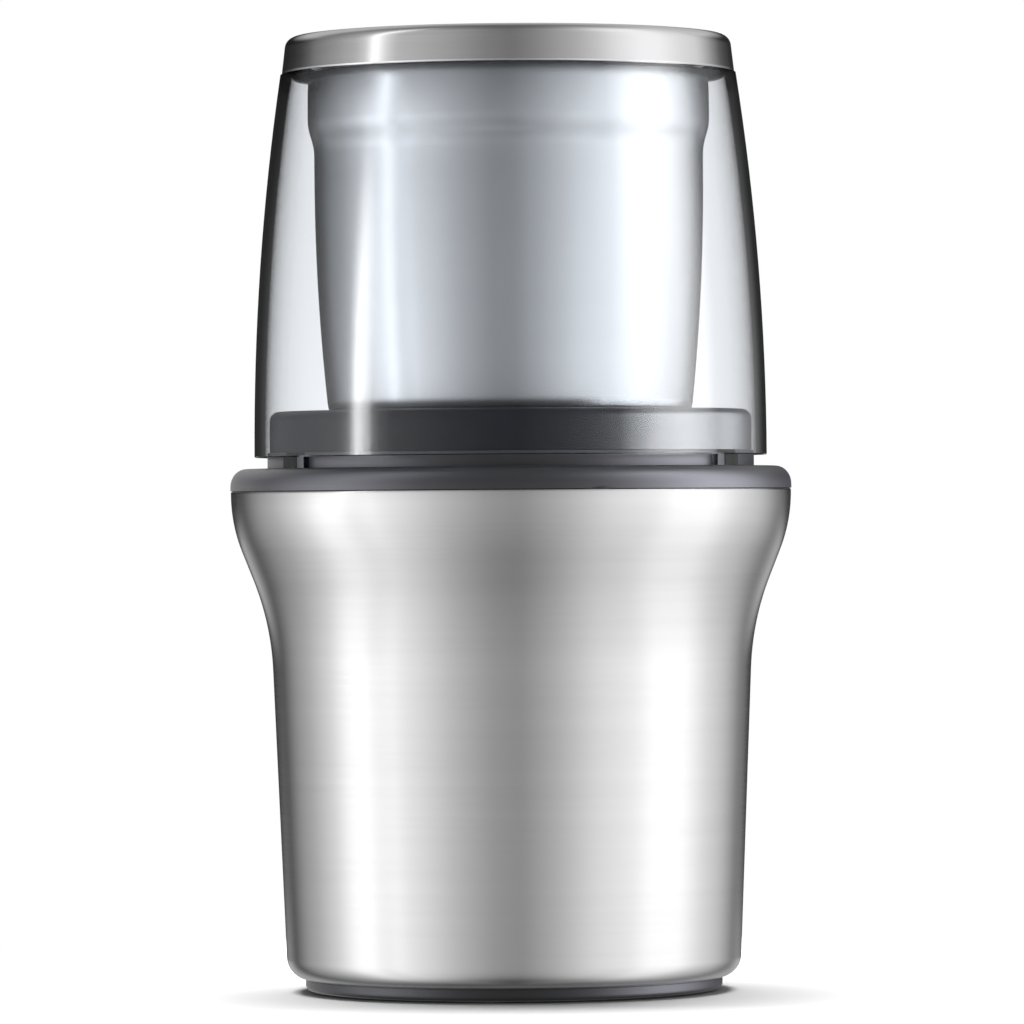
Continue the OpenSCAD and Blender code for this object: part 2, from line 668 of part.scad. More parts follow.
module upper_bearing() color("#b08d57") ring(shaft_r + run, bush_r - slip, upper_plate_z + 0.5,
    upper_plate_z + 0.5 + bush_len);
module lower_bearing() color("#b08d57") ring(shaft_r + run, bush_r - slip, lower_hub_z,
    lower_hub_z + bush_len);

brush_gap = 0.3;
brush_len = 12;
brush_y0 = commutator_r + brush_gap;
holder_y0 = commutator_r + 1.4;
holder_y1 = 31;

module at_brushes() for (s = [0, 180]) rotate(s) translate([0, 0, holder_z]) children();

module brush_holders() color("#8a5a2b") at_brushes() difference() {
    translate([-holder_out / 2, holder_y0, -holder_out / 2]) cube([holder_out, holder_y1 - holder_y0, holder_out]);
    translate([-brush_w / 2 - slip, 0, -brush_t / 2 - slip])
        cube([brush_w + 2 * slip, holder_y1 - 1.2, brush_t + 2 * slip]);
}

module carbon_brushes() color("#2b2b2e") at_brushes()
    translate([-brush_w / 2, brush_y0, -brush_t / 2]) cube([brush_w, brush_len, brush_t]);

module brush_springs() color("#c8c8cc") at_brushes()
    translate([0, brush_y0 + brush_len, 0]) rotate([-90, 0, 0])
        coil(2.2, 0.4, holder_y1 - 1.2 - brush_y0 - brush_len, 5, 6, 12);

film_box = [7, 18, 11]; // noise capacitor
film_r = 31; // its distance from the axis
module noise_capacitor() color("#c9a227") rotate(225) {
    translate([film_r, 0, base_top + film_box[2] / 2]) cube(film_box, center = true);
    for (y = [-3, 3]) translate([film_r, y, 0])
        disc(0.5, base_top + film_box[2] - EPS, base_top + film_box[2] + 4);
}

cutout_size = [4, 11, 5];
module thermal_cutout() color("#3b3b40")
    translate([-stator_x / 2 - cutout_size[0], post_r + 1.5, stack_z + stack_h / 2]) cube(cutout_size);

// ---------- rotor ----------
shaft_bottom = 5;
dog_z = deck_bottom - 1.4; // underside of the drive dog
dog_lobes = 6;
dog_hub_r = 4.2;
lobe_r = 1.5;
lobe_circle_r = 4.5;
cup_clear = 0.35;
dog_top = deck_top + 2.3;
fan_z = 6.5;
fan_h = 7;

module motor_shaft() color("#c9ccd1") disc(shaft_r, shaft_bottom, dog_top - 2);

module armature_core() color("#8d9096") difference() {
    disc(armature_r, stack_z, stack_top);
    disc(shaft_r + slip, stack_z - 1, stack_top + 1);
    around([for (i = [0:armature_slots - 1]) 360 * i / armature_slots]) {
        translate([armature_r - 4.2, 0, 0]) disc(2.4, stack_z - 1, stack_top + 1);
        block([armature_r - 4, -0.8, stack_z - 1], [armature_r + 1, 0.8, stack_top + 1]);
    }
}

winding_h = 6.5;
module armature_windings() color("#b5692e") {
    for (z = [stack_z - winding_h, stack_top]) translate([0, 0, z]) rotate_extrude()
        polygon([[shaft_r + 1, 0], [armature_r - 3, 0], [armature_r - 1.8, 1.2],
            [armature_r - 1.8, winding_h - 1.2], [armature_r - 3, winding_h], [shaft_r + 1, winding_h]]);
    around([for (i = [0:armature_slots - 1]) 360 * i / armature_slots])
        translate([armature_r - 4.2, 0, 0]) disc(2.3, stack_z - EPS, stack_top + EPS);
}

commutator_z = 23;
commutator_h = 13;
module commutator() color("#b87333") difference() {
    union() {
        disc(commutator_r, commutator_z, commutator_z + commutator_h - 1.5);
        disc(commutator_r + 1, commutator_z + commutator_h - 2, commutator_z + commutator_h);
    }
    disc(shaft_r + slip, commutator_z - 1, commutator_z + commutator_h + 1);
    around([for (i = [0:commutator_bars - 1]) 360 * i / commutator_bars])
        block([commutator_r - 1.2, -0.25, commutator_z - 1], [commutator_r + 2, 0.25, commutator_z + commutator_h + 1]);
}

module cooling_fan() color("#2f3034") {
    difference() {
        union() {
            disc(7, fan_z, fan_z + fan_h);
            disc(fan_r, fan_z + fan_h - 1.4, fan_z + fan_h);
            around([for (i = [0:fan_blades - 1]) 360 * i / fan_blades])
                block([6, -0.7, fan_z + 0.6], [fan_r, 0.7, fan_z + fan_h - 1]);
        }
        disc(shaft_r + slip, fan_z - 1, fan_z + fan_h + 1);
    }
}

module rotor_collars() color("#b8b8bc") {
    upper_hub_top = upper_plate_z + plate_t + 5;
    ring(shaft_r + 0.02, shaft_r + 2.4, upper_hub_top + fine, upper_hub_top + fine + 1.2);
    ring(shaft_r + 0.02, shaft_r + 2.4, lower_plate_top + 1 + fine, lower_plate_top + 1 + fine + 1.2);
}

module lobes(r, extra) for (i = [0:dog_lobes - 1]) rotate(360 * i / dog_lobes)
    translate([lobe_circle_r, 0]) circle(r = r + extra);

module drive_dog() color("#1b1b1d") difference() {
    union() {
        disc(9.5, dog_z, dog_z + 1.5);
        translate([0, 0, dog_z]) linear_extrude(dog_top - dog_z) {
            circle(r = dog_hub_r);
            lobes(lobe_r, 0);
        }
    }
    disc(shaft_r + slip, dog_z - 1, dog_top - 2);
}

// ---------- bowl ----------
seat_z = neck_top + fine + skirt_h - bowl_sink; // what the bowl stands on
skirt_bottom = neck_top + fine;
skirt_top = skirt_bottom + skirt_h;
lid_seal_h = 1.9;
roof_top = cap_top - cap_t - slip;
roof_z = roof_top - roof_t;
rim_z = roof_z - lid_seal_h - press_travel - rim_gap;
bowl_mid_z = rim_z - rim_band_h - rim_slope_h - 5; // where the long curve is widest
bowl_floor_z = seat_z + bowl_t;

// The bowl's side in [radius, height], moved inwards by "inset"
bowl_low_lean = asin((bowl_mid_z - seat_z - bowl_corner_r) / bowl_curve_r);
function bowl_curve(inset, n = 10) = arc([bowl_r - bowl_curve_r, bowl_mid_z],
    bowl_curve_r - inset, -bowl_low_lean, 0, n);
bowl_corner_x = bowl_r - bowl_curve_r * (1 - cos(bowl_low_lean)) - bowl_corner_r;
slope_turn = 12; // rounding of the slope between side and band
slope_lean = 2 * atan((rim_r - bowl_r) / rim_slope_h);
function rim_slope(inset) = let (h = rim_slope_h / 2, d = (rim_r - bowl_r) / 2,
    z0 = rim_z - rim_band_h - rim_slope_h, rad = h / sin(slope_lean)) concat(
    arc([bowl_r + rad, z0], rad + inset, 180, 180 - slope_lean, 5),
    arc([rim_r - rad, z0 + rim_slope_h], rad - inset, -slope_lean, 0, 5));
function bowl_side(inset) = concat(
    arc([bowl_corner_x, seat_z + bowl_corner_r], bowl_corner_r - inset, -90, -bowl_low_lean - 1, 6),
    bowl_curve(inset), rim_slope(inset), [[rim_r - inset, rim_z]]);

hub_stem_r = 7;
hub_flange_r = 9;
hub_flange_h = 2.5;
gasket_t = 0.6;
base_floor_t = 2.2;
hub_nut_h = 3;
hub_bottom = seat_z - base_floor_t - hub_nut_h - 0.4;
hub_flange_z = bowl_floor_z + gasket_t;
hub_top = hub_flange_z + hub_flange_h + 2;

module grinding_bowl() color("#c4c7cc") rotate_extrude() polygon(concat(
    [[hub_stem_r + 0.2, seat_z]], bowl_side(0), reversed(bowl_side(bowl_t)),
    [[hub_stem_r + 0.2, bowl_floor_z]]));

spigot_out_r = neck_r - neck_wall - 0.4;
module bowl_base() color("#2c3338") {
    rotate_extrude() polygon(concat([[hub_stem_r + 0.2, seat_z - base_floor_t],
        [bowl_corner_x + bowl_corner_r + 2.6, seat_z - base_floor_t],
        [bowl_corner_x + bowl_corner_r + 2.6, skirt_top - 2.4],
        [spigot_out_r - skirt_wall, skirt_top - 2.4],
        [spigot_out_r - skirt_wall, deck_top], [spigot_out_r, deck_top],
        [spigot_out_r, skirt_bottom], [skirt_r - 0.3, skirt_bottom], [skirt_r, skirt_bottom + 0.3]],
        arc([skirt_r - skirt_edge_r, skirt_top - skirt_edge_r], skirt_edge_r, 0, 90, 5),
        [[bowl_corner_x + bowl_corner_r + 0.35, skirt_top],
        [bowl_corner_x + bowl_corner_r + 0.35, seat_z], [hub_stem_r + 0.2, seat_z]]));
    around(key_angles)
        block([spigot_out_r - 1, -key_w / 2, deck_top + fine], [key_out_r, key_w / 2, skirt_bottom + EPS]);
}

module bearing_hub() color("#d4d6da") rotate_extrude() polygon([
    [bush_r, hub_bottom], [hub_stem_r, hub_bottom], [hub_stem_r, hub_flange_z],
    [hub_flange_r, hub_flange_z], [hub_flange_r, hub_flange_z + 1.6],
    [hub_flange_r - 0.9, hub_flange_z + hub_flange_h], [bush_r + 1.6, hub_flange_z + hub_flange_h],
    [bush_r + 1.3, hub_top], [bush_r, hub_top]]);

module hub_gasket() color("#3a3a3e") ring(hub_stem_r + 0.1, hub_flange_r - 0.2, bowl_floor_z, hub_flange_z);

module hub_nut() color("#b8b8bc") difference() {
    translate([0, 0, seat_z - base_floor_t - hub_nut_h]) cylinder(r = 11, h = hub_nut_h, $fn = 6);
    disc(hub_stem_r + slip, 0, seat_z);
}

shaft_seal_h = 2.2;
module hub_bushes() color("#b08d57") for (z = [hub_bottom + 0.2, hub_top - shaft_seal_h - 3.6])
    ring(blade_shaft_r + run, bush_r - slip, z, z + 3.5);

module shaft_seal() color("#2a2a2c") rotate_extrude() polygon([
    [blade_shaft_r + fine, hub_top - shaft_seal_h], [bush_r - slip, hub_top - shaft_seal_h],
    [bush_r - slip, hub_top], [blade_shaft_r + 1.3, hub_top],
    [blade_shaft_r + fine, hub_top - 0.9]]);

// ---------- blades ----------
washer_t = 0.6;
washer_r = 5;
blade_z = hub_top + fine + washer_t; // underside of the lower blade
cup_roof_t = 2;
cup_roof_top = hub_bottom - fine - washer_t;
cup_r = 8.5;
cup_bottom = dog_z + 1.5 + 0.6;
nut_z = blade_z + 2 * blade_t + washer_t;
blade_shaft_bottom = cup_roof_top - cup_roof_t + fine;

module blade_shaft() color("#d4d6da") disc(blade_shaft_r, blade_shaft_bottom, nut_z + 4.2);

// One arm along +X: a flat root, then a wing that leans up or down, with a bevelled leading edge
wing_reach = blade_r - wing_start_r;
bevel_lean = 35;
module blade_arm(lean) difference() {
    drop = wing_reach * tan(lean);
    intersection() {
        translate([0, blade_w, 0]) rotate([90, 0, 0]) linear_extrude(2 * blade_w) polygon([[0, 0],
            [wing_start_r, 0], [blade_r, drop], [blade_r, drop + blade_t], [wing_start_r, blade_t],
            [0, blade_t]]);
        translate([0, 0, -blade_r]) linear_extrude(2 * blade_r) polygon([[0, -blade_w / 2],
            [wing_start_r, -blade_w / 2], [blade_r - 3, -blade_w / 2 + 1.4],
            [blade_r, blade_w / 2 - 3.5], [blade_r - 1.5, blade_w / 2], [0, blade_w / 2]]);
    }
    translate([wing_start_r, -blade_w / 2, blade_t / 2]) rotate([0, -lean, 0])
        translate([2, 0, 0]) rotate([bevel_lean, 0, 0]) translate([0, -5, 0]) cube([blade_r, 10, 5]);
}

module two_arm_blade(lean) difference() {
    for (a = [0, 180]) rotate(a) blade_arm(lean);
    disc(blade_shaft_r + slip, -1, blade_t + 1);
}

module lower_blade() color("#cfd2d6") translate([0, 0, blade_z]) two_arm_blade(-wing_lean / 2);
module upper_blade() color("#cfd2d6") translate([0, 0, blade_z + blade_t]) rotate(90) two_arm_blade(wing_lean);

module blade_washers() color("#b8b8bc") {
    ring(blade_shaft_r + 0.02, washer_r, blade_z - washer_t, blade_z);
    ring(blade_shaft_r + 0.02, washer_r, blade_z + 2 * blade_t, nut_z);
    ring(blade_shaft_r + 0.02, washer_r, cup_roof_top, cup_roof_top + washer_t);
}

module blade_nut() color("#c9ccd1") difference() {
    union() {
        translate([0, 0, nut_z]) cylinder(r = 4.6, h = 3.6, $fn = 6);
        translate([0, 0, nut_z + 3.6]) intersection() {
            sphere(r = 4);
            disc(5, 0, 5);
        }
    }
    disc(blade_shaft_r + slip, nut_z - 1, nut_z + 4.3);
}

module driven_dog() color("#1b1b1d") difference() {
    disc(cup_r, cup_bottom, cup_roof_top);
    translate([0, 0, cup_bottom - 1]) linear_extrude(cup_roof_top - cup_roof_t - cup_bottom + 1) {
        circle(r = dog_hub_r + cup_clear);
        lobes(lobe_r, cup_clear);
    }
    disc(blade_shaft_r + 0.02, cup_bottom, cup_roof_top + 1);
}

// ---------- lid ----------
crown_r = lid_r - lid_drop(cap_bottom) - cap_inset - cap_lean - cap_t - slip;
function lid_drop(z) = lid_curve_r - sqrt(lid_curve_r ^ 2 - (z - lid_bottom) ^ 2);
lid_arc = asin(lid_side_h / lid_curve_r);
function lid_side(inset, n = 10) = arc([lid_r - lid_curve_r, lid_bottom], lid_curve_r - inset, 0, lid_arc, n);
crown_in_r = lid_r - lid_drop(cap_bottom) - lid_wall - 0.8;

module lid_shell() color("#e8eaf0", 0.35) {
    edge = 0.5;
    rotate_extrude() polygon(concat([[lid_r - edge, lid_bottom]],
        [for (p = lid_side(0)) [p[0], max(p[1], lid_bottom + edge)]],
        [[crown_r, cap_bottom]],
        arc([crown_r - 1.4, roof_top - 1.4], 1.4, 0, 90, 4), [[0, roof_top], [0, roof_z]],
        arc([crown_in_r - 2, roof_z - 2], 2, 90, 0, 4),
        reversed(lid_side(lid_wall))));
    around(tab_angles) intersection() {
        block([lid_r - lid_wall + 0.15, -tab_w / 2, plunger_top], [lid_r, tab_w / 2, lid_bottom + 1.5]);
        disc(lid_r - 0.2, 0, lid_bottom + 2);
    }
    for (r = [seal_in_r - 1.1, seal_out_r + 0.1]) ring(r, r + 1, roof_z - 1.2, roof_z + EPS);
}

seal_in_r = rim_r - bowl_t - 1.2;
seal_out_r = rim_r + 0.7;
module lid_seal() color("#d9dadc") ring(seal_in_r, seal_out_r, roof_z - lid_seal_h, roof_z);

cap_low_r = lid_r - lid_drop(cap_bottom) - cap_inset;
module lid_cap() color("silver") rotate_extrude() polygon(concat(
    [[cap_low_r, cap_bottom]],
    arc([cap_low_r - cap_lean - cap_edge_r, cap_top - cap_edge_r], cap_edge_r, 0, 90, 6),
    [[0, cap_top], [0, cap_top - cap_t]],
    arc([cap_low_r - cap_lean - cap_edge_r, cap_top - cap_edge_r], cap_edge_r - cap_t, 90, 0, 6),
    [[cap_low_r - cap_t, cap_bottom]]));

steel_housing();
top_collar();
base_plate();
rubber_feet();
cord_gland();
tie_screws();
well_seal();
upper_bracket();
lower_bracket();
through_bolts();
vibration_dampers();
motor_screws();
stator_core();
coil_bobbins();
field_coils();
upper_bearing();
lower_bearing();
brush_holders();
carbon_brushes();
brush_springs();
switch_body();
switch_terminals();
switch_screws();
noise_capacitor();
thermal_cutout();
switch_lever();
switch_button();
press_ring();
return_springs();
motor_shaft();
armature_core();
armature_windings();
commutator();
cooling_fan();
rotor_collars();
drive_dog();
grinding_bowl();
bowl_base();
bearing_hub();
hub_gasket();
hub_nut();
hub_bushes();
shaft_seal();
blade_shaft();
lower_blade();
upper_blade();
blade_washers();
blade_nut();
driven_dog();
lid_shell();
lid_seal();
lid_cap();
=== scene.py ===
"""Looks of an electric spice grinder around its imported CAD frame.

The frame gives the place and size of every node. The pieces that show from outside are modelled
again here as smooth meshes of the same form, and every other node keeps its mesh and gets a finish.
"""

import json
import logging
import math
from dataclasses import dataclass, field
from enum import StrEnum, auto
from typing import Sequence

import bmesh
import bpy
from mathutils import Matrix, Vector


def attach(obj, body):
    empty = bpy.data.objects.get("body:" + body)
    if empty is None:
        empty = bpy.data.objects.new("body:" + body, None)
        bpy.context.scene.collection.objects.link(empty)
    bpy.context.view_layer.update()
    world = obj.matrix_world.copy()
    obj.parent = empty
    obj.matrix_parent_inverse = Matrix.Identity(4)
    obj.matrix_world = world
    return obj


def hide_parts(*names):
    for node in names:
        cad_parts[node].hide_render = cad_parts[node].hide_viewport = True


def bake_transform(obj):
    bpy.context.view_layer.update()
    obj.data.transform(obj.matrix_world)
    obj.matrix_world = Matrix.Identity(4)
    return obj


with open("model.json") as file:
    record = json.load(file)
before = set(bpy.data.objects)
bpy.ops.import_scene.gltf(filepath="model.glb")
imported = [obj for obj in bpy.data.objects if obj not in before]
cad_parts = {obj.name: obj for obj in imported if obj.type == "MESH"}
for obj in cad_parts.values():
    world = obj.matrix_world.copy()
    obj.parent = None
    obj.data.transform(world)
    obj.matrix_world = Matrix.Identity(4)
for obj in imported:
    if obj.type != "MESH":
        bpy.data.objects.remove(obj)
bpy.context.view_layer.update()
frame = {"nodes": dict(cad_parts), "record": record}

MM = 0.001
ROUND_STEPS = 192  # segments of a full turn on a large piece
SMOOTH_ANGLE = math.radians(32)  # edges that turn by more than this stay sharp
FLAT_ANGLE = math.radians(0.2)  # faces that turn by less than this are one
LOOKS_DOWN = -0.99  # the normal of a face that looks down is lower than this
LEVEL = 0.01  # a face within this many millimetres of a level lies on it
JOIN = 1e-7  # corners of a new shape that lie closer than this are one
Point = tuple[float, float]
Triple = tuple[float, float, float]
Color = Triple
Shape = bmesh.types.BMesh
Piece = bpy.types.Object
Node = bpy.types.Node
Socket = bpy.types.NodeSocket
LOG = logging.getLogger("grinder")


# ---- shaping


def arc(centre: Point, radius: float, start: float, end: float, steps: int = 8) -> list[Point]:
    """Returns points of an arc in the radius-height plane.

    Args:
        centre: Radius and height of the arc's centre.
        radius: The arc's radius.
        start: Angle of the first point in degrees, counted from the outward direction.
        end: Angle of the last point in degrees.
        steps: Number of stretches between points.

    Returns:
        The points, both ends included.
    """
    turn = (end - start) / steps
    angles = [math.radians(start + turn * i) for i in range(steps + 1)]
    return [(centre[0] + radius * math.cos(a), centre[1] + radius * math.sin(a)) for a in angles]


def sweep(points: Sequence[Point], start: float, turn: float, steps: int) -> Shape:
    """Turns a closed outline round the vertical axis and leaves the ends of the turn open.

    Args:
        points: Radius and height of each corner, in millimetres.
        start: Angle at which the turn begins, from +X in radians.
        turn: Angle of the turn.
        steps: Number of segments in the turn.

    Returns:
        A bmesh in metres. A full turn meets itself.
    """
    bm = bmesh.new()
    first = Matrix.Rotation(start, 3, "Z")
    verts = [bm.verts.new(first @ Vector((r * MM, 0, z * MM))) for r, z in points]
    edges = [bm.edges.new(pair) for pair in zip(verts, verts[1:] + verts[:1])]
    bmesh.ops.spin(bm, geom=verts + edges, cent=(0, 0, 0), axis=(0, 0, 1), angle=turn,
                   steps=steps, use_merge=turn == math.tau, use_duplicate=False)
    return bm


def spin(points: Sequence[Point]) -> Shape:
    """Turns a closed outline all round the vertical axis.

    Args:
        points: Radius and height of each corner, in millimetres.

    Returns:
        A bmesh in metres with its faces outwards.
    """
    bm = sweep(points, 0.0, math.tau, ROUND_STEPS)
    bmesh.ops.remove_doubles(bm, verts=bm.verts, dist=JOIN)
    bmesh.ops.dissolve_degenerate(bm, edges=bm.edges, dist=JOIN)
    bmesh.ops.recalc_face_normals(bm, faces=bm.faces)
    return bm


def block(low: Vector, high: Vector, turn: float, edge: float) -> Shape:
    """Makes a box with rounded edges, turned about the vertical axis.

    Args:
        low: Lowest corner in millimetres, before the turn.
        high: Highest corner in millimetres.
        turn: Angle about the vertical axis in radians.
        edge: Rounding of the edges in millimetres.

    Returns:
        A bmesh in metres.
    """
    bm = bmesh.new()
    bmesh.ops.create_cube(bm, size=1)
    bmesh.ops.scale(bm, vec=(high - low) * MM, verts=bm.verts)
    bmesh.ops.translate(bm, vec=(high + low) * MM / 2, verts=bm.verts)
    bmesh.ops.bevel(bm, geom=list(bm.edges), offset=edge * MM, segments=2, profile=0.5,
                    affect="EDGES", material=-1)
    bmesh.ops.rotate(bm, cent=(0, 0, 0), matrix=Matrix.Rotation(turn, 3, "Z"), verts=bm.verts)
    return bm


def merge(target: Shape, extra: Shape) -> None:
    """Adds the faces of one bmesh to another.

    Args:
        target: The bmesh that takes the faces.
        extra: The bmesh that gives them. It is freed.
    """
    mesh = bpy.data.meshes.new("part")
    extra.to_mesh(mesh)
    extra.free()
    target.from_mesh(mesh)
    bpy.data.meshes.remove(mesh)


def linked(name: str, data: bpy.types.ID) -> Piece:
    """Puts a new object into the scene.

    Args:
        name: Name of the object.
        data: Its mesh, light or camera.

    Returns:
        The object.
    """
    piece = bpy.data.objects.new(name, data)
    bpy.context.scene.collection.objects.link(piece)
    return piece


def to_object(bm: Shape, name: str) -> Piece:
    """Turns a bmesh into a smooth-shaded object at the origin.

    Args:
        bm: The shape, in metres. It is freed.
        name: Name of the object and its mesh.

    Returns:
        The linked object.
    """
    mesh = bpy.data.meshes.new(name)
    bm.to_mesh(mesh)
    bm.free()
    mesh.shade_smooth()
    mesh.set_sharp_from_angle(angle=SMOOTH_ANGLE)
    return linked(name, mesh)


def merged_copy(node: str) -> Piece:
    """Copies a CAD node's mesh, joins its loose triangles and smooths its shading.

    Args:
        node: Name of the CAD node.

    Returns:
        The linked copy, named for the node's form.
    """
    bm = bmesh.new()
    bm.from_mesh(frame["nodes"][node].data)
    bmesh.ops.remove_doubles(bm, verts=bm.verts, dist=10 * JOIN)
    bmesh.ops.dissolve_limit(bm, angle_limit=FLAT_ANGLE, verts=bm.verts, edges=bm.edges)
    return to_object(bm, node + "_form")


def bore(piece: Piece, centre: Sequence[float], radius: float, length: float) -> None:
    """Cuts a round hole through a piece from front to rear.

    Args:
        piece: The object to cut.
        centre: Middle of the hole, in millimetres.
        radius: Radius in millimetres.
        length: Length of the cut in millimetres.
    """
    bm = bmesh.new()
    bmesh.ops.create_cone(bm, cap_ends=True, segments=ROUND_STEPS // 4, radius1=radius * MM,
                          radius2=radius * MM, depth=length * MM)
    bmesh.ops.rotate(bm, cent=(0, 0, 0), matrix=Matrix.Rotation(math.pi / 2, 3, "X"),
                     verts=bm.verts)
    bmesh.ops.translate(bm, vec=Vector(centre) * MM, verts=bm.verts)
    drill = to_object(bm, "drill")
    modifier = piece.modifiers.new("cut", "BOOLEAN")
    modifier.operation, modifier.object, modifier.solver = "DIFFERENCE", drill, "EXACT"
    bpy.context.view_layer.update()
    shape = piece.evaluated_get(bpy.context.evaluated_depsgraph_get())
    whole, bored = piece.data, bpy.data.meshes.new_from_object(shape)
    piece.modifiers.clear()
    piece.data = bored
    bpy.data.meshes.remove(whole)
    bpy.data.meshes.remove(drill.data)  # takes the drill along
    bored.name = piece.name
    bored.shade_smooth()
    bored.set_sharp_from_angle(angle=SMOOTH_ANGLE)


# ---- finishes


class Nodes:
    """Short calls for building the node tree of a material, a lamp or the world."""

    def __init__(self, owner: bpy.types.ID, kind: str) -> None:
        """Empties the owner's node tree but for an output.

        Args:
            owner: The material, light or world.
            kind: Its kind of output: Material, Light or World.
        """
        owner.use_nodes = True
        self.owner, self.tree = owner, owner.node_tree
        self.tree.nodes.clear()
        self.out = self.tree.nodes.new("ShaderNodeOutput" + kind)

    def add(self, kind: str, **inputs: object) -> Node:
        """Adds a node.

        Args:
            kind: Node type without its ShaderNode prefix.
            **inputs: Sockets by name, with underscores for spaces, or by an i and their number.
                An output socket is linked and any other value is set. A name that starts with p_
                sets the node's own property.

        Returns:
            The new node.
        """
        node = self.tree.nodes.new("ShaderNode" + kind)
        for key, value in inputs.items():
            if key.startswith("p_"):
                setattr(node, key[2:], value)
                continue
            socket = node.inputs[int(key[1:]) if key[1:].isdigit() else key.replace("_", " ")]
            if isinstance(value, Socket):
                self.tree.links.new(value, socket)
            else:
                socket.default_value = value
        return node

    def finish(self, shader: Node) -> bpy.types.ID:
        """Links the shader to the output and returns the tree's owner."""
        self.tree.links.new(shader.outputs[0], self.out.inputs[0])
        return self.owner

    def calc(self, operation: str, first: object, second: object) -> Socket:
        """Returns the result of an operation on two numbers."""
        return self.add("Math", p_operation=operation, i0=first, i1=second).outputs[0]

    def spread(self, value: Socket, low: float, high: float,
               from_low: float = 0.3, from_high: float = 0.7) -> Socket:
        """Maps a value from one range to another, clamped."""
        return self.add("MapRange", Value=value, From_Min=from_low, From_Max=from_high,
                        To_Min=low, To_Max=high).outputs[0]

    def mix(self, share: Socket, first: object, second: object) -> Socket:
        """Mixes two colours by a share."""
        return self.add("Mix", p_data_type="RGBA", i0=share, i6=first, i7=second).outputs[2]

    def tint(self, share: Socket, color: Color, contrast: float) -> Socket:
        """Lets a colour stray darker and lighter by a contrast."""
        return self.mix(share, (*toned(color, 1 - contrast), 1), (*toned(color, 1 + contrast), 1))

    def scaled(self, color: Socket, factor: object) -> Socket:
        """Returns a colour times a factor."""
        return self.add("VectorMath", p_operation="SCALE", i0=color, Scale=factor).outputs[0]

    def stray(self, value: Socket, middle: float, vary: Point) -> Socket:
        """Lets a number stray by a value, from the first to the second of two steps."""
        return self.spread(value, middle + vary[0], middle + vary[1])

    def coords(self, scale: float) -> Socket:
        """Returns Object coordinates, scaled evenly."""
        source = self.add("TexCoord").outputs["Object"]
        return self.add("Mapping", Vector=source, Scale=(scale,) * 3).outputs[0]

    def noise(self, vector: Socket, detail: float, roughness: float = 0.55) -> Socket:
        """Returns a noise value between 0 and 1, whose lumps are about 1 wide."""
        return self.add("TexNoise", Vector=vector, Scale=1.0, Detail=detail,
                        Roughness=roughness).outputs["Fac"]

    def bump(self, height: Socket, strength: float, distance: float) -> Socket:
        """Returns a normal bent by a height."""
        return self.add("Bump", Height=height, Strength=strength, Distance=distance).outputs[0]

    def bearing(self, axes: Node) -> Socket:
        """Returns the bearing of separated axes: 0 at -180 degrees, 0.5 in front, 1 at 180."""
        right, front = axes.outputs["X"], self.calc("MULTIPLY", axes.outputs["Y"], -1.0)
        return self.spread(self.calc("ARCTAN2", right, front), 0.0, 1.0, -math.pi, math.pi)

    def ramp(self, share: Socket, stops: Sequence[Point]) -> Socket:
        """Sets a strength by bearing.

        Args:
            share: The bearing as a share of the full turn.
            stops: Bearing in degrees and strength up to 1 of each stop, in rising order.

        Returns:
            The strength, as a grey.
        """
        node = self.add("ValToRGB", Fac=share)
        elements = node.color_ramp.elements
        elements.remove(elements[1])
        elements[0].position = (stops[0][0] + 180) / 360
        for i, (angle, strength) in enumerate(stops):
            element = elements[0] if i == 0 else elements.new((angle + 180) / 360)
            element.color = (strength, strength, strength, 1)
        return node.outputs[0]


def toned(color: Color, factor: float) -> Color:
    """Returns a colour made lighter or darker by a factor."""
    return tuple(min(1.0, c * factor) for c in color)


class Finish:
    """What a surface is made of."""

    def shader(self, n: Nodes) -> Node:
        """Builds the shader in a material's node tree and returns its node."""
        raise NotImplementedError

    def material(self, name: str) -> bpy.types.Material:
        """Returns a new material of this finish."""
        n = Nodes(bpy.data.materials.new(name), "Material")
        return n.finish(self.shader(n))


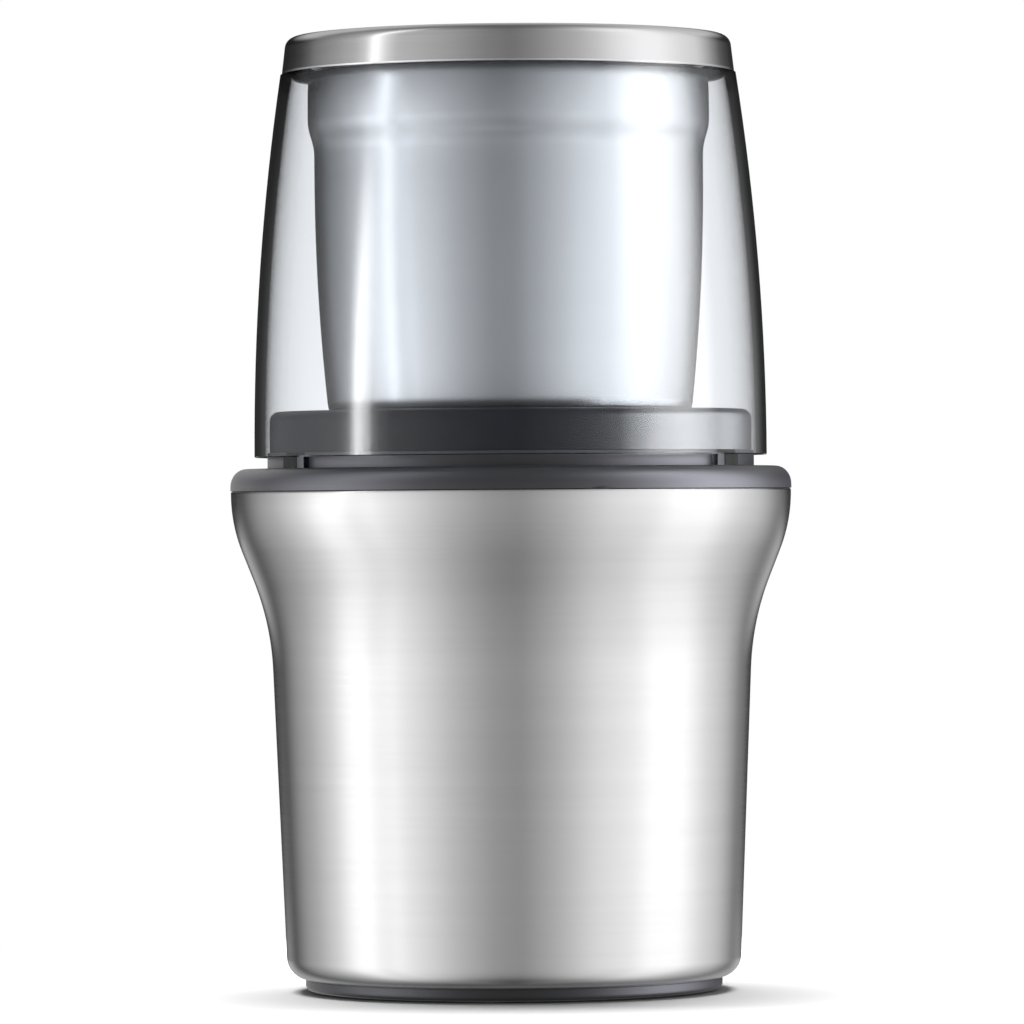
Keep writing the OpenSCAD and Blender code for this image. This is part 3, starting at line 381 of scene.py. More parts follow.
@dataclass(frozen=True)
class BrushedSteel(Finish):
    """Steel brushed round its axis: level lines on the sides, circles on flat faces."""

    color: Color
    roughness: float
    contrast: float = 0.02
    line: float = 0.25 * MM  # height of a brush line
    length: float = 26 * MM  # length of a brush line
    broad: Point = (4, 12)  # how much longer and higher the broad lines are
    anisotropy: float = 0.8
    depth: float = 0.01 * MM
    relief: float = 0.12  # strength of its bumps
    vary: float = 0.045  # how far its roughness strays either way

    def lines(self, n: Nodes, length: float, line: float, detail: float) -> Socket:
        """Draws noise out along the brush lines.

        Args:
            n: The material's node builder.
            length: How far a line runs.
            line: How high a line is.
            detail: Levels of finer noise.

        Returns:
            A value between 0 and 1.
        """
        place = n.add("TexCoord").outputs["Object"]
        flat = n.add("VectorMath", p_operation="MULTIPLY", i0=place, i1=(1, 1, 0)).outputs[0]
        out = n.add("VectorMath", p_operation="LENGTH", i0=flat).outputs["Value"]
        axes = n.add("SeparateXYZ", Vector=place)
        across = n.calc("ADD", out, axes.outputs["Z"])
        where = n.add("CombineXYZ", X=axes.outputs["X"], Y=axes.outputs["Y"], Z=across).outputs[0]
        drawn = n.add("Mapping", Vector=where, Scale=(1 / length, 1 / length, 1 / line)).outputs[0]
        return n.noise(drawn, detail, 0.65)

    def shader(self, n: Nodes) -> Node:
        """Builds the steel from fine and broad brush lines.

        Args:
            n: The material's node builder.

        Returns:
            The shader's node.
        """
        fine = self.lines(n, self.length, self.line, 4.0)
        broad = self.lines(n, self.length * self.broad[0], self.line * self.broad[1], 2.0)
        tone = n.spread(n.calc("ADD", fine, broad), 0, 1, 0.75, 1.25)
        rough = n.stray(fine, self.roughness, (-self.vary, self.vary))
        tangent = n.add("Tangent", p_direction_type="RADIAL", p_axis="Z").outputs[0]
        return n.add("BsdfPrincipled", Base_Color=n.tint(tone, self.color, self.contrast),
                     Metallic=1.0, Roughness=rough, Anisotropic=self.anisotropy,
                     Anisotropic_Rotation=0.25, Tangent=tangent,
                     Normal=n.bump(fine, self.relief, self.depth))


@dataclass(frozen=True)
class Metal(Finish):
    """Plain machined, cast or plated metal with a fine grain."""

    color: Color
    roughness: float
    grain: float = 0.8 * MM
    contrast: float = 0.08
    depth: float = 0.01 * MM
    relief: float = 0.3
    vary: Point = (-0.05, 0.08)  # how far its roughness strays

    def shader(self, n: Nodes) -> Node:
        """Returns the metal's shader."""
        grain = n.noise(n.coords(1 / self.grain), 4.0)
        return n.add("BsdfPrincipled", Metallic=1.0,
                     Roughness=n.stray(grain, self.roughness, self.vary),
                     Base_Color=n.tint(n.spread(grain, 0, 1), self.color, self.contrast),
                     Normal=n.bump(grain, self.relief, self.depth))


@dataclass(frozen=True)
class Moulded(Finish):
    """Moulded plastic or rubber with a fine spark-eroded grain."""

    color: Color
    roughness: float
    grain: float = 0.35 * MM
    contrast: float = 0.06
    depth: float = 0.02 * MM
    relief: float = 0.4
    vary: Point = (-0.04, 0.06)
    level: float = 0.5  # specular level
    cloud: float = 25 * MM  # width of the faint clouds in its colour

    def shader(self, n: Nodes) -> Node:
        """Returns the moulding's shader."""
        grain, cloud = (n.noise(n.coords(1 / width), detail)
                        for width, detail in ((self.grain, 3.0), (self.cloud, 2.0)))
        return n.add("BsdfPrincipled", Specular_IOR_Level=self.level,
                     Roughness=n.stray(grain, self.roughness, self.vary),
                     Base_Color=n.tint(n.spread(cloud, 0, 1), self.color, self.contrast),
                     Normal=n.bump(grain, self.relief, self.depth))


@dataclass(frozen=True)
class Layered(Finish):
    """A stack of steel sheets or a bundle of enamelled wire: even level lines."""

    dark: Color
    light: Color
    pitch: float
    roughness: float = 0.4
    metallic: float = 0.8
    relief: float = 0.6

    def shader(self, n: Nodes) -> Node:
        """Returns the layers' shader."""
        wave = n.add("TexWave", Vector=n.coords(1), Scale=1 / self.pitch / 3, Distortion=0.4,
                     Detail=1.0, p_bands_direction="Z").outputs["Fac"]
        return n.add("BsdfPrincipled", Base_Color=n.mix(wave, (*self.dark, 1), (*self.light, 1)),
                     Metallic=self.metallic, Roughness=self.roughness,
                     Normal=n.bump(wave, self.relief, self.pitch / 4))


@dataclass(frozen=True)
class ClearPlastic(Finish):
    """Clear plastic with a light grey tint, which lets lamps through to what it covers."""

    color: Color
    roughness: float = 0.015
    vary: float = 0.01
    ior: float = 1.49
    gloss: float = 0.5  # share of its mirror light, as on a coated surface
    passed: float = 0.98  # share of its colour that it leaves to its shadow

    def shader(self, n: Nodes) -> Node:
        """Builds the clear plastic.

        Args:
            n: The material's node builder.

        Returns:
            The node that mixes it with its light shadow.
        """
        haze = n.noise(n.coords(60), 2.0)
        shell = n.add("BsdfPrincipled", Base_Color=(*self.color, 1), Transmission_Weight=1.0,
                      IOR=self.ior, Specular_Tint=(self.gloss, self.gloss, self.gloss, 1),
                      Roughness=n.stray(haze, self.roughness, (-self.vary, self.vary)))
        through = n.add("BsdfTransparent", Color=(*toned(self.color, self.passed), 1))
        shadow = n.add("LightPath").outputs["Is Shadow Ray"]
        return n.add("MixShader", i0=shadow, i1=shell.outputs[0], i2=through.outputs[0])


class Slot(StrEnum):
    """The record's material slots, whose values are the lower-case names."""

    BRUSHED_STEEL = auto()
    CAP_STEEL = auto()
    BOWL_STEEL = auto()
    BLADE_STEEL = auto()
    GROUND_STEEL = auto()
    ZINC_STEEL = auto()
    LAMINATION = auto()
    BRACKET_ALLOY = auto()
    BRONZE = auto()
    COPPER = auto()
    CARBON = auto()
    GREY_PLASTIC = auto()
    BASE_PLASTIC = auto()
    DARK_PLASTIC = auto()
    DOG_PLASTIC = auto()
    PRESS_PLASTIC = auto()
    BOBBIN_PLASTIC = auto()
    HOLDER_PLASTIC = auto()
    SWITCH_PLASTIC = auto()
    FILM_PLASTIC = auto()
    RED_PLASTIC = auto()
    CLEAR_PLASTIC = auto()
    SILICONE = auto()
    RUBBER = auto()


CAP_COLOR = (0.82, 0.817, 0.828)
FINISHES: dict[Slot, Finish] = {
    Slot.BRUSHED_STEEL: BrushedSteel((0.87, 0.867, 0.878), 0.24, depth=0.006 * MM, vary=0.03),
    Slot.CAP_STEEL: BrushedSteel(CAP_COLOR, 0.18, contrast=0.01, depth=0.002 * MM, vary=0.02),
    Slot.BOWL_STEEL: BrushedSteel((0.72, 0.74, 0.765), 0.22, contrast=0.006, line=0.3 * MM,
                                  depth=0.0004 * MM, vary=0.01),
    Slot.BLADE_STEEL: Metal((0.72, 0.73, 0.74), 0.22, grain=0.5 * MM),
    Slot.GROUND_STEEL: Metal((0.68, 0.69, 0.7), 0.18, grain=0.4 * MM),
    Slot.ZINC_STEEL: Metal((0.62, 0.63, 0.64), 0.32, grain=0.6 * MM),
    Slot.LAMINATION: Layered((0.18, 0.185, 0.19), (0.42, 0.43, 0.44), 0.5 * MM),
    Slot.BRACKET_ALLOY: Metal((0.55, 0.56, 0.57), 0.5, grain=1.2 * MM, depth=0.05 * MM),
    Slot.BRONZE: Metal((0.5, 0.31, 0.14), 0.42, grain=0.3 * MM, contrast=0.15),
    Slot.COPPER: Layered((0.35, 0.11, 0.035), (0.72, 0.3, 0.12), 0.55 * MM, roughness=0.3,
                         metallic=0.7),
    Slot.CARBON: Moulded((0.03, 0.03, 0.032), 0.55, grain=0.2 * MM, contrast=0.2),
    Slot.GREY_PLASTIC: Moulded((0.027, 0.028, 0.034), 0.38, level=0.9),
    Slot.BASE_PLASTIC: Moulded((0.034, 0.036, 0.039), 0.42, level=0.6),
    Slot.DARK_PLASTIC: Moulded((0.005, 0.008, 0.014), 0.32, level=0.13),
    Slot.DOG_PLASTIC: Moulded((0.012, 0.012, 0.013), 0.35),
    Slot.PRESS_PLASTIC: Moulded((0.6, 0.6, 0.57), 0.4),
    Slot.BOBBIN_PLASTIC: Moulded((0.62, 0.59, 0.5), 0.45),
    Slot.HOLDER_PLASTIC: Moulded((0.2, 0.09, 0.03), 0.45, contrast=0.15),
    Slot.SWITCH_PLASTIC: Moulded((0.02, 0.02, 0.022), 0.4),
    Slot.FILM_PLASTIC: Moulded((0.5, 0.33, 0.03), 0.3),
    Slot.RED_PLASTIC: Moulded((0.5, 0.03, 0.02), 0.35),
    Slot.CLEAR_PLASTIC: ClearPlastic((0.94, 0.955, 0.975)),
    Slot.SILICONE: Moulded((0.62, 0.63, 0.64), 0.5, grain=0.5 * MM),
    Slot.RUBBER: Moulded((0.02, 0.02, 0.021), 0.7, grain=0.4 * MM, level=0.3),
}
CAP_TOP = BrushedSteel(CAP_COLOR, 0.36, contrast=0.01, depth=0.002 * MM, vary=0.02)
# Dark grey clear plastic on the tabs and the lid's open edge: painted shade for the shaded slots in
# the collar's neck and the gap under the lid
SHADE_PAINTED_TAB = ClearPlastic((0.28, 0.29, 0.31), 0.05)


class Workshop:
    """Keeps one material of each finish and dresses pieces with them."""

    def __init__(self) -> None:
        """Reads which slot each node takes its finish from."""
        self.made: dict[Slot, bpy.types.Material] = {}
        self.node_slot = {p["node"]: Slot(p["material_slot"]) for p in frame["record"]["subparts"]}
        self.replaced: set[str] = set()

    def material(self, slot: Slot) -> bpy.types.Material:
        """Makes a slot's material when it is first asked for.

        Args:
            slot: The material slot.

        Returns:
            The one material of the slot.
        """
        if slot not in self.made:
            self.made[slot] = FINISHES[slot].material(slot.value)
        return self.made[slot]

    def paint(self, piece: Piece, slot: Slot) -> None:
        """Gives a piece's every material slot one finish."""
        piece.data.materials.clear()
        piece.data.materials.append(self.material(slot))

    def place(self, piece: Piece, body: str | None, *nodes: str) -> None:
        """Dresses a new piece, sets it on its body and lets it stand for its nodes.

        Args:
            piece: The new object, in place.
            body: Body on which it rides, or None for a piece that stretches between two.
            *nodes: CAD nodes that it replaces. The first one gives the finish.
        """
        slot = self.node_slot[nodes[0]]
        self.paint(piece, slot)
        if body:
            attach(piece, body)
        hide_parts(*nodes)
        self.replaced.update(nodes)
        LOG.info("%s: %s, %d faces", body, piece.name, len(piece.data.polygons))

    def dress_rest(self) -> None:
        """Gives every node that keeps its own mesh its finish."""
        for name, piece in frame["nodes"].items():
            if name not in self.replaced:
                self.paint(piece, self.node_slot[name])
                LOG.info("dressed %s", name)


# ---- sub-assemblies


@dataclass
class Housing:
    """The drawn steel housing of the motor base with its flared top."""

    bottom: float = 2.8
    top: float = 105.0
    low_r: float = 47.6
    corner_r: float = 4.6
    waist_r: float = 50.1
    waist_z: float = 67.5
    top_r: float = 58.7
    top_edge: float = 0.45
    lean: float = 2.35846
    flare_lean: float = 21.5
    hollow_r: float = 58.0
    full_r: float = 33.0
    wall: float = 0.8
    flange_r: float = 39.6
    outlet_z: float = 14.0
    outlet_r: float = 5.2
    outlet_cut: float = 24.0  # length of the drill
    level_shares: tuple[float, ...] = (0.28, 0.64)  # rows of corners up the straight side

    def side(self, inset: float) -> list[Point]:
        """Draws the side's outline from the bottom up.

        Args:
            inset: How far it lies inside the outer face.

        Returns:
            The corners of the outline.
        """
        lean, flare = math.radians(self.lean), math.radians(self.flare_lean)
        rise = self.waist_z - self.corner_r * math.sin(lean) - self.bottom - self.corner_r
        corner_x = self.waist_r - self.corner_r * math.cos(lean) - rise * math.tan(lean)
        hollow_c = (self.waist_r + self.hollow_r * math.cos(lean),
                    self.waist_z - self.hollow_r * math.sin(lean))
        width = self.top_r - self.waist_r - self.hollow_r * (math.cos(lean) - math.cos(flare))
        straight = (width - self.full_r * (1 - math.cos(flare))) / math.sin(flare)
        full_z = (self.waist_z + self.hollow_r * (math.sin(flare) - math.sin(lean))
                  + straight * math.cos(flare) + self.full_r * math.sin(flare))
        corner = arc((corner_x, self.bottom + self.corner_r), self.corner_r - inset, -90,
                     -self.lean, 10)
        hollow = arc(hollow_c, self.hollow_r + inset, 180 - self.lean, 180 - self.flare_lean, 14)
        foot, waist = corner[-1], hollow[0]
        plain = [(foot[0] + (waist[0] - foot[0]) * t, foot[1] + (waist[1] - foot[1]) * t)
                 for t in self.level_shares]
        full = arc((self.top_r - self.full_r, full_z), self.full_r - inset, -self.flare_lean, 0, 12)
        rim = arc((self.top_r - self.top_edge, self.top - self.top_edge), self.top_edge - inset,
                  0, 90, 4) if inset == 0 else [(self.top_r - inset, self.top)]
        return corner + plain + hollow + full + rim

    def build(self, shop: Workshop) -> None:
        """Builds the steel shell.

        Args:
            shop: The workshop that dresses it.
        """
        outline = [(self.flange_r, self.bottom), *self.side(0),
                   *reversed(self.side(self.wall)), (self.flange_r, self.bottom + self.wall)]
        shell = to_object(spin(outline), "housing_shell")
        bore(shell, (0, self.low_r, self.outlet_z), self.outlet_r, self.outlet_cut)
        shop.place(shell, "housing", "steel_housing")


@dataclass
class Lid:
    """The clear lid with its three tabs, and the steel cap that closes it."""

    bottom: float = 112.0
    radius: float = 53.7
    wall: float = 2.2
    curve_r: float = 542.0
    side_h: float = 80.1
    edge: float = 0.2
    roof_top: float = 199.25
    roof_t: float = 2.2
    roof_r: float = 2.0  # rounding of the corner under the roof
    crown_r: float = 1.7  # rounding of the roof's edge
    crown_step: float = 0.8
    cap_top: float = 200.0
    cap_t: float = 0.7
    cap_edge: float = 2.4
    cap_rim: float = 0.4  # height of the bright bevel round its open end
    cap_crease: Point = (0.02, 0.2)  # step above the bevel, in and up
    cap_lean: float = 0.6
    cap_inset: float = 0.35
    cap_play: float = 0.05
    seal_in: float = 40.1
    seal_out: float = 42.8
    rib_play: float = 0.1
    rib_t: float = 1.0
    rib_h: float = 1.2
    step: float = 1.8  # degrees between the corners of its round
    tab_end: float = 107.0
    tab_angles: tuple[float, ...] = (-148.5, -31.5, 90.0)
    tab_turn: float = 5.54  # angle that a tab covers
    tab_steps: int = 4
    painted_shade_height: float = 0.15  # height over the open end up to which faces take the dark plastic of painted shade

    @property
    def shoulder(self) -> float:
        """Returns the height at which the clear side ends under the cap."""
        return self.bottom + self.side_h

    @property
    def top_r(self) -> float:
        """Returns the clear side's radius at the shoulder."""
        return self.radius - self.curve_r + math.sqrt(self.curve_r ** 2 - self.side_h ** 2)

    def side(self, inset: float) -> list[Point]:
        """Returns the side's outline from the open end up, moved inwards by the inset."""
        turn = math.degrees(math.asin(self.side_h / self.curve_r))
        return arc((self.radius - self.curve_r, self.bottom), self.curve_r - inset, 0, turn, 16)

    def outline(self) -> list[Point]:
        """Draws the clear shell.

        Returns:
            The corners of its closed outline.
        """
        outer = self.side(0)
        outer[0] = (self.radius, self.bottom + self.edge)
        crown = self.top_r - self.cap_inset - self.cap_lean - self.cap_t - self.cap_play
        inner_crown = self.top_r - self.wall - self.crown_step
        roof = self.roof_top - self.roof_t
        rib = roof - self.rib_h
        near, far = self.seal_in - self.rib_play, self.seal_out + self.rib_play
        ribs = [(near - self.rib_t, roof), (near - self.rib_t, rib), (near, rib), (near, roof),
                (far, roof), (far, rib), (far + self.rib_t, rib), (far + self.rib_t, roof)]
        return [(self.radius - self.edge, self.bottom), *outer, (crown, self.shoulder),
                *arc((crown - self.crown_r, self.roof_top - self.crown_r), self.crown_r, 0, 90, 5),
                (0, self.roof_top), (0, roof), *ribs,
                *arc((inner_crown - self.roof_r, roof - self.roof_r), self.roof_r, 90, 0, 5),
                *reversed(self.side(self.wall))]

    def shell(self) -> Shape:
        """Spins the clear shell in stretches whose ends fall on the tabs' edges.

        Returns:
            A bmesh in metres, with its tabs.
        """
        outline, half = self.outline(), self.tab_turn / 2
        centres = sorted(self.tab_angles)
        bm = bmesh.new()
        for centre, following in zip(centres, [*centres[1:], centres[0] + 360]):
            gap = following - centre - self.tab_turn
            for start, turn, steps in ((centre - half, self.tab_turn, self.tab_steps),
                                       (centre + half, gap, round(gap / self.step))):
                merge(bm, sweep(outline, math.radians(start), math.radians(turn), steps))
        bmesh.ops.remove_doubles(bm, verts=bm.verts, dist=JOIN)
        bmesh.ops.recalc_face_normals(bm, faces=bm.faces)
        for centre in centres:
            self.pull_tab(bm, math.radians(centre))
        return bm

    def pull_tab(self, bm: Shape, centre: float) -> None:
        """Extrudes one tab from the open end's flat edge down into its slot.

        Args:
            bm: The shell.
            centre: Angle of the tab's middle, in radians.
        """
        foot, half = [], math.radians(self.tab_turn / 2)
        for face in bm.faces:
            middle = face.calc_center_median()
            turn = math.atan2(middle.y, middle.x) - centre
            turn = math.atan2(math.sin(turn), math.cos(turn))
            low = middle.z < (self.bottom + self.edge / 2) * MM
            if low and face.normal.z < LOOKS_DOWN and abs(turn) < half:
                foot.append(face)
        made = bmesh.ops.extrude_face_region(bm, geom=foot)["geom"]
        moved = [v for v in made if isinstance(v, bmesh.types.BMVert)]
        bmesh.ops.translate(bm, vec=(0, 0, (self.tab_end - self.bottom) * MM), verts=moved)
        bmesh.ops.delete(bm, geom=[f for f in foot if f.is_valid], context="FACES_KEEP_BOUNDARY")

    def cap_outline(self) -> list[Point]:
        """Draws the steel cap from its rim over the top and back inside.

        Returns:
            The corners of its closed outline.
        """
        low, bevel = self.top_r - self.cap_inset, self.shoulder + self.cap_rim
        centre = (low - self.cap_lean - self.cap_edge, self.cap_top - self.cap_edge)
        return [(low - self.cap_rim / 3, self.shoulder), (low, bevel),
                (low - self.cap_crease[0], bevel + self.cap_crease[1]),
                *arc(centre, self.cap_edge, 0, 90), (0, self.cap_top),
                (0, self.cap_top - self.cap_t), *arc(centre, self.cap_edge - self.cap_t, 90, 0),
                (low - self.cap_t, self.shoulder)]

    def build(self, shop: Workshop) -> None:
        """Builds the clear shell and the cap.

        Args:
            shop: The workshop that dresses them.
        """
        clear = to_object(self.shell(), "lid_clear")
        shop.place(clear, "lid", "lid_shell")
        # The tabs and the open end's flat edge take the dark plastic, a painted shade for the
        # shaded slots and gap behind them
        clear.data.materials.append(SHADE_PAINTED_TAB.material("tab_painted_shade"))
        for face in clear.data.polygons:
            face.material_index = int(face.center.z < (self.bottom + self.painted_shade_height) * MM)
        cap = to_object(spin(self.cap_outline()), "lid_steel_cap")
        shop.place(cap, "lid", "lid_cap")
        cap.data.materials.append(CAP_TOP.material("cap_top_steel"))
        for face in cap.data.polygons:
            face.material_index = int(face.center.z > (self.cap_top - LEVEL) * MM)


@dataclass
class Bowl:
    """The lift-out steel bowl and the dark base under it."""

    seat: float = 117.7
    rim: float = 192.6
    side_r: float = 40.75
    rim_r: float = 42.1
    band_h: float = 10.4
    slope_h: float = 7.0
    belly_h: float = 5.0  # from the widest height up to the slope
    curve_r: float = 450.0
    corner_r: float = 6.4
    wall: float = 0.8
    stem_r: float = 7.2
    floor_t: float = 2.2
    floor_over: float = 2.6  # reach of the base's floor past the bowl's corner
    nest_play: float = 0.35  # gap between the bowl's corner and the base
    nest_edge: float = 0.4
    skirt_r: float = 50.5
    skirt_bottom: float = 112.65
    skirt_top: float = 121.5
    skirt_edge: float = 2.0
    skirt_foot: float = 0.3  # bevel of its lower edge
    skirt_t: float = 2.4  # thickness of its level part
    skirt_wall: float = 2.0
    spigot_r: float = 48.6
    spigot_end: float = 106.7
    key_out: float = 49.7
    key_in: float = 1.0  # depth of a key's root
    key_w: float = 5.0
    key_edge: float = 0.3
    key_angles: tuple[float, ...] = (-90.0, 30.0, 150.0)

    @property
    def slope_z(self) -> float:
        """Returns the height at which the slope under the rim's band begins."""
        return self.rim - self.band_h - self.slope_h

    @property
    def widest(self) -> float:
        """Returns the height at which the side is upright."""
        return self.slope_z - self.belly_h

    @property
    def low_lean(self) -> float:
        """Returns the side's lean at its foot, in degrees."""
        return math.degrees(math.asin((self.widest - self.seat - self.corner_r) / self.curve_r))

    @property
    def corner_x(self) -> float:
        """Returns the radius of the bottom corner's centre."""
        drop = self.curve_r * (1 - math.cos(math.radians(self.low_lean)))
        return self.side_r - drop - self.corner_r

    def side(self, inset: float) -> list[Point]:
        """Draws the bowl's side from the bottom corner to the rim.

        Args:
            inset: How far the outline lies inside the outer face.

        Returns:
            The corners of the outline.
        """
        slope = 2 * math.degrees(math.atan((self.rim_r - self.side_r) / self.slope_h))
        bend = self.slope_h / 2 / math.sin(math.radians(slope))
        return [*arc((self.corner_x, self.seat + self.corner_r), self.corner_r - inset, -90,
                     -self.low_lean - 1, 10),
                *arc((self.side_r - self.curve_r, self.widest), self.curve_r - inset,
                     -self.low_lean, 0, 14),
                *arc((self.side_r + bend, self.slope_z), bend + inset, 180, 180 - slope, 6),
                *arc((self.rim_r - bend, self.rim - self.band_h), bend - inset, -slope, 0, 6)]

    def bowl_outline(self) -> list[Point]:
        """Returns the steel bowl's closed outline, with its rolled rim."""
        roll = self.wall / 2
        return [(self.stem_r, self.seat), *self.side(0),
                *arc((self.rim_r - roll, self.rim - roll), roll, 0, 180, 6),
                *reversed(self.side(self.wall)), (self.stem_r, self.seat + self.wall)]

    def base_outline(self) -> list[Point]:
        """Draws the base under the bowl.

        Returns:
            The corners of its closed outline.
        """
        wide = self.corner_x + self.corner_r
        floor_r, nest_r = wide + self.floor_over, wide + self.nest_play
        under, inner = self.skirt_top - self.skirt_t, self.spigot_r - self.skirt_wall
        return [(self.stem_r, self.seat - self.floor_t), (floor_r, self.seat - self.floor_t),
                (floor_r, under), (inner, under), (inner, self.spigot_end),
                (self.spigot_r, self.spigot_end), (self.spigot_r, self.skirt_bottom),
                (self.skirt_r - self.skirt_foot, self.skirt_bottom),
                (self.skirt_r, self.skirt_bottom + self.skirt_foot),
                *arc((self.skirt_r - self.skirt_edge, self.skirt_top - self.skirt_edge),
                     self.skirt_edge, 0, 90),
                *arc((nest_r + self.nest_edge, self.skirt_top - self.nest_edge), self.nest_edge,
                     90, 180, 4),
                (nest_r, self.seat), (self.stem_r, self.seat)]

    def build(self, shop: Workshop) -> None:
        """Builds the bowl and its base.

        Args:
            shop: The workshop that dresses them.
        """
        shop.place(to_object(spin(self.bowl_outline()), "bowl_cup"), "bowl", "grinding_bowl")
        bm = spin(self.base_outline())
        low = Vector((self.spigot_r - self.key_in, -self.key_w / 2,
                      self.spigot_end + self.key_edge))
        high = Vector((self.key_out, self.key_w / 2, self.skirt_bottom))
        for angle in self.key_angles:
            merge(bm, block(low, high, math.radians(angle), self.key_edge))
        shop.place(to_object(bm, "bowl_skirt"), "bowl", "bowl_base")


@dataclass
class CopiedParts:
    """Nodes whose own form shows, kept as merged copies with smooth shading."""

    parts: dict[str, str] = field(default_factory=lambda: {
        "top_collar": "housing", "base_plate": "housing", "rubber_feet": "housing",
        "cord_gland": "housing", "press_ring": "press_ring", "bearing_hub": "bowl",
        "blade_shaft": "blades", "lower_blade": "blades", "upper_blade": "blades",
        "blade_washers": "blades", "blade_nut": "blades", "driven_dog": "blades",
        "drive_dog": "rotor", "hub_nut": "bowl", "lid_seal": "lid"})
    ring_in: float = 50.9
    ring_low: float = 105.9
    ring_top: float = 109.2
    ring_lift: float = 0.45

    def build(self, shop: Workshop) -> None:
        """Builds a smooth copy of each node.

        Args:
            shop: The workshop that dresses them.
        """
        for node, body in self.parts.items():
            piece = merged_copy(node)
            if node == "top_collar":
                self.lift_ring(piece.data)
            shop.place(piece, body, node)
        self.add_springs(shop)

    def add_springs(self, shop: Workshop) -> None:
        """Copies the return springs as a piece on no single body and bakes its place into its mesh.

        Args:
            shop: The workshop that dresses them.
        """
        springs = merged_copy("return_springs")
        shop.place(springs, None, "return_springs")
        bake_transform(springs)

    def lift_ring(self, mesh: bpy.types.Mesh) -> None:
        """Raises the rounded top of the collar's ring outside its neck.

        Args:
            mesh: The collar's mesh.
        """
        for vertex in mesh.vertices:
            rise = (vertex.co.z / MM - self.ring_low) / (self.ring_top - self.ring_low)
            if vertex.co.xy.length > self.ring_in * MM and rise > 0:
                vertex.co.z += min(rise, 1.0) * self.ring_lift * MM


# ---- studio


def area_lamp(name: str, size: Point, strength: float, receivers: Sequence[str]) -> Piece:
    """Makes a lamp that isn't seen itself and lights some pieces alone.

    Args:
        name: Name of the lamp.
        size: Its width and height in metres.
        strength: Its brightness.
        receivers: Names of the pieces that it lights.

    Returns:
        The linked lamp.
    """
    data = bpy.data.lights.new(name, "AREA")
    data.shape, (data.size, data.size_y) = "RECTANGLE", size
    data.energy = strength * math.pi * size[0] * size[1]
    lamp = linked(name, data)
    lamp.visible_camera = False
    pieces = bpy.data.collections.new(name + "_pieces")
    for receiver in receivers:
        pieces.objects.link(bpy.data.objects[receiver])
    lamp.light_linking.receiver_collection = pieces
    return lamp


@dataclass(frozen=True)
class Softbox:
    """A tall soft lamp that only a few glossy pieces mirror, brightest inside its edges."""

    name: str
    glow: tuple[Point, ...]  # angle from the front in degrees, right positive, and strength
    receivers: tuple[str, ...]
    low: float = -1.2
    high: float = 1.4
    reach: float = 2.0  # distance from the object
    fade: float = 1.4  # height at which it begins to fade
    faded: float = 0.4  # height over which it fades
    passes: float = 2.5  # its light goes through fewer clear faces than this
    inner: bool = False  # reaches its pieces straight through the clear lid
    color: Color = (1.0, 1.0, 1.0)

    def build(self) -> None:
        """Builds the lamp and links it to its pieces."""
        first, last = (math.radians(self.glow[i][0]) for i in (0, -1))
        middle = (first + last) / 2
        width = 2 * self.reach * math.tan((last - first) / 2)
        peak = max(strength for _, strength in self.glow)
        lamp = area_lamp(self.name, (width, self.high - self.low), peak, self.receivers)
        place = Vector((math.sin(middle), -math.cos(middle), 0)) * self.reach
        facing = place.to_track_quat("Z", "Y").to_matrix().to_4x4()
        rise = Vector((0, 0, (self.high + self.low) / 2))
        lamp.matrix_world = Matrix.Translation(place + rise) @ facing
        lamp.visible_diffuse = False
        lamp.data.color = self.color
        lamp.data.cycles.use_multiple_importance_sampling = not self.inner
        self.shade(lamp.data, peak)

    def shade(self, data: bpy.types.Light, peak: float) -> None:
        """Fades the lamp over its angle and height, and hides it behind clear walls.

        Args:
            data: The lamp's data.
            peak: The largest strength of its glow.
        """
        n = Nodes(data, "Light")
        axes = n.add("SeparateXYZ", Vector=n.add("NewGeometry").outputs["Position"])
        glow = n.ramp(n.bearing(axes), [(angle, s / peak) for angle, s in self.glow])
        top = n.spread(axes.outputs["Z"], 1, 0, self.fade, self.fade + self.faded)
        depth = n.add("LightPath").outputs["Transmission Depth"]
        direct = n.calc("LESS_THAN", depth, self.passes)
        n.finish(n.add("Emission", Color=glow, Strength=n.calc("MULTIPLY", top, direct)))


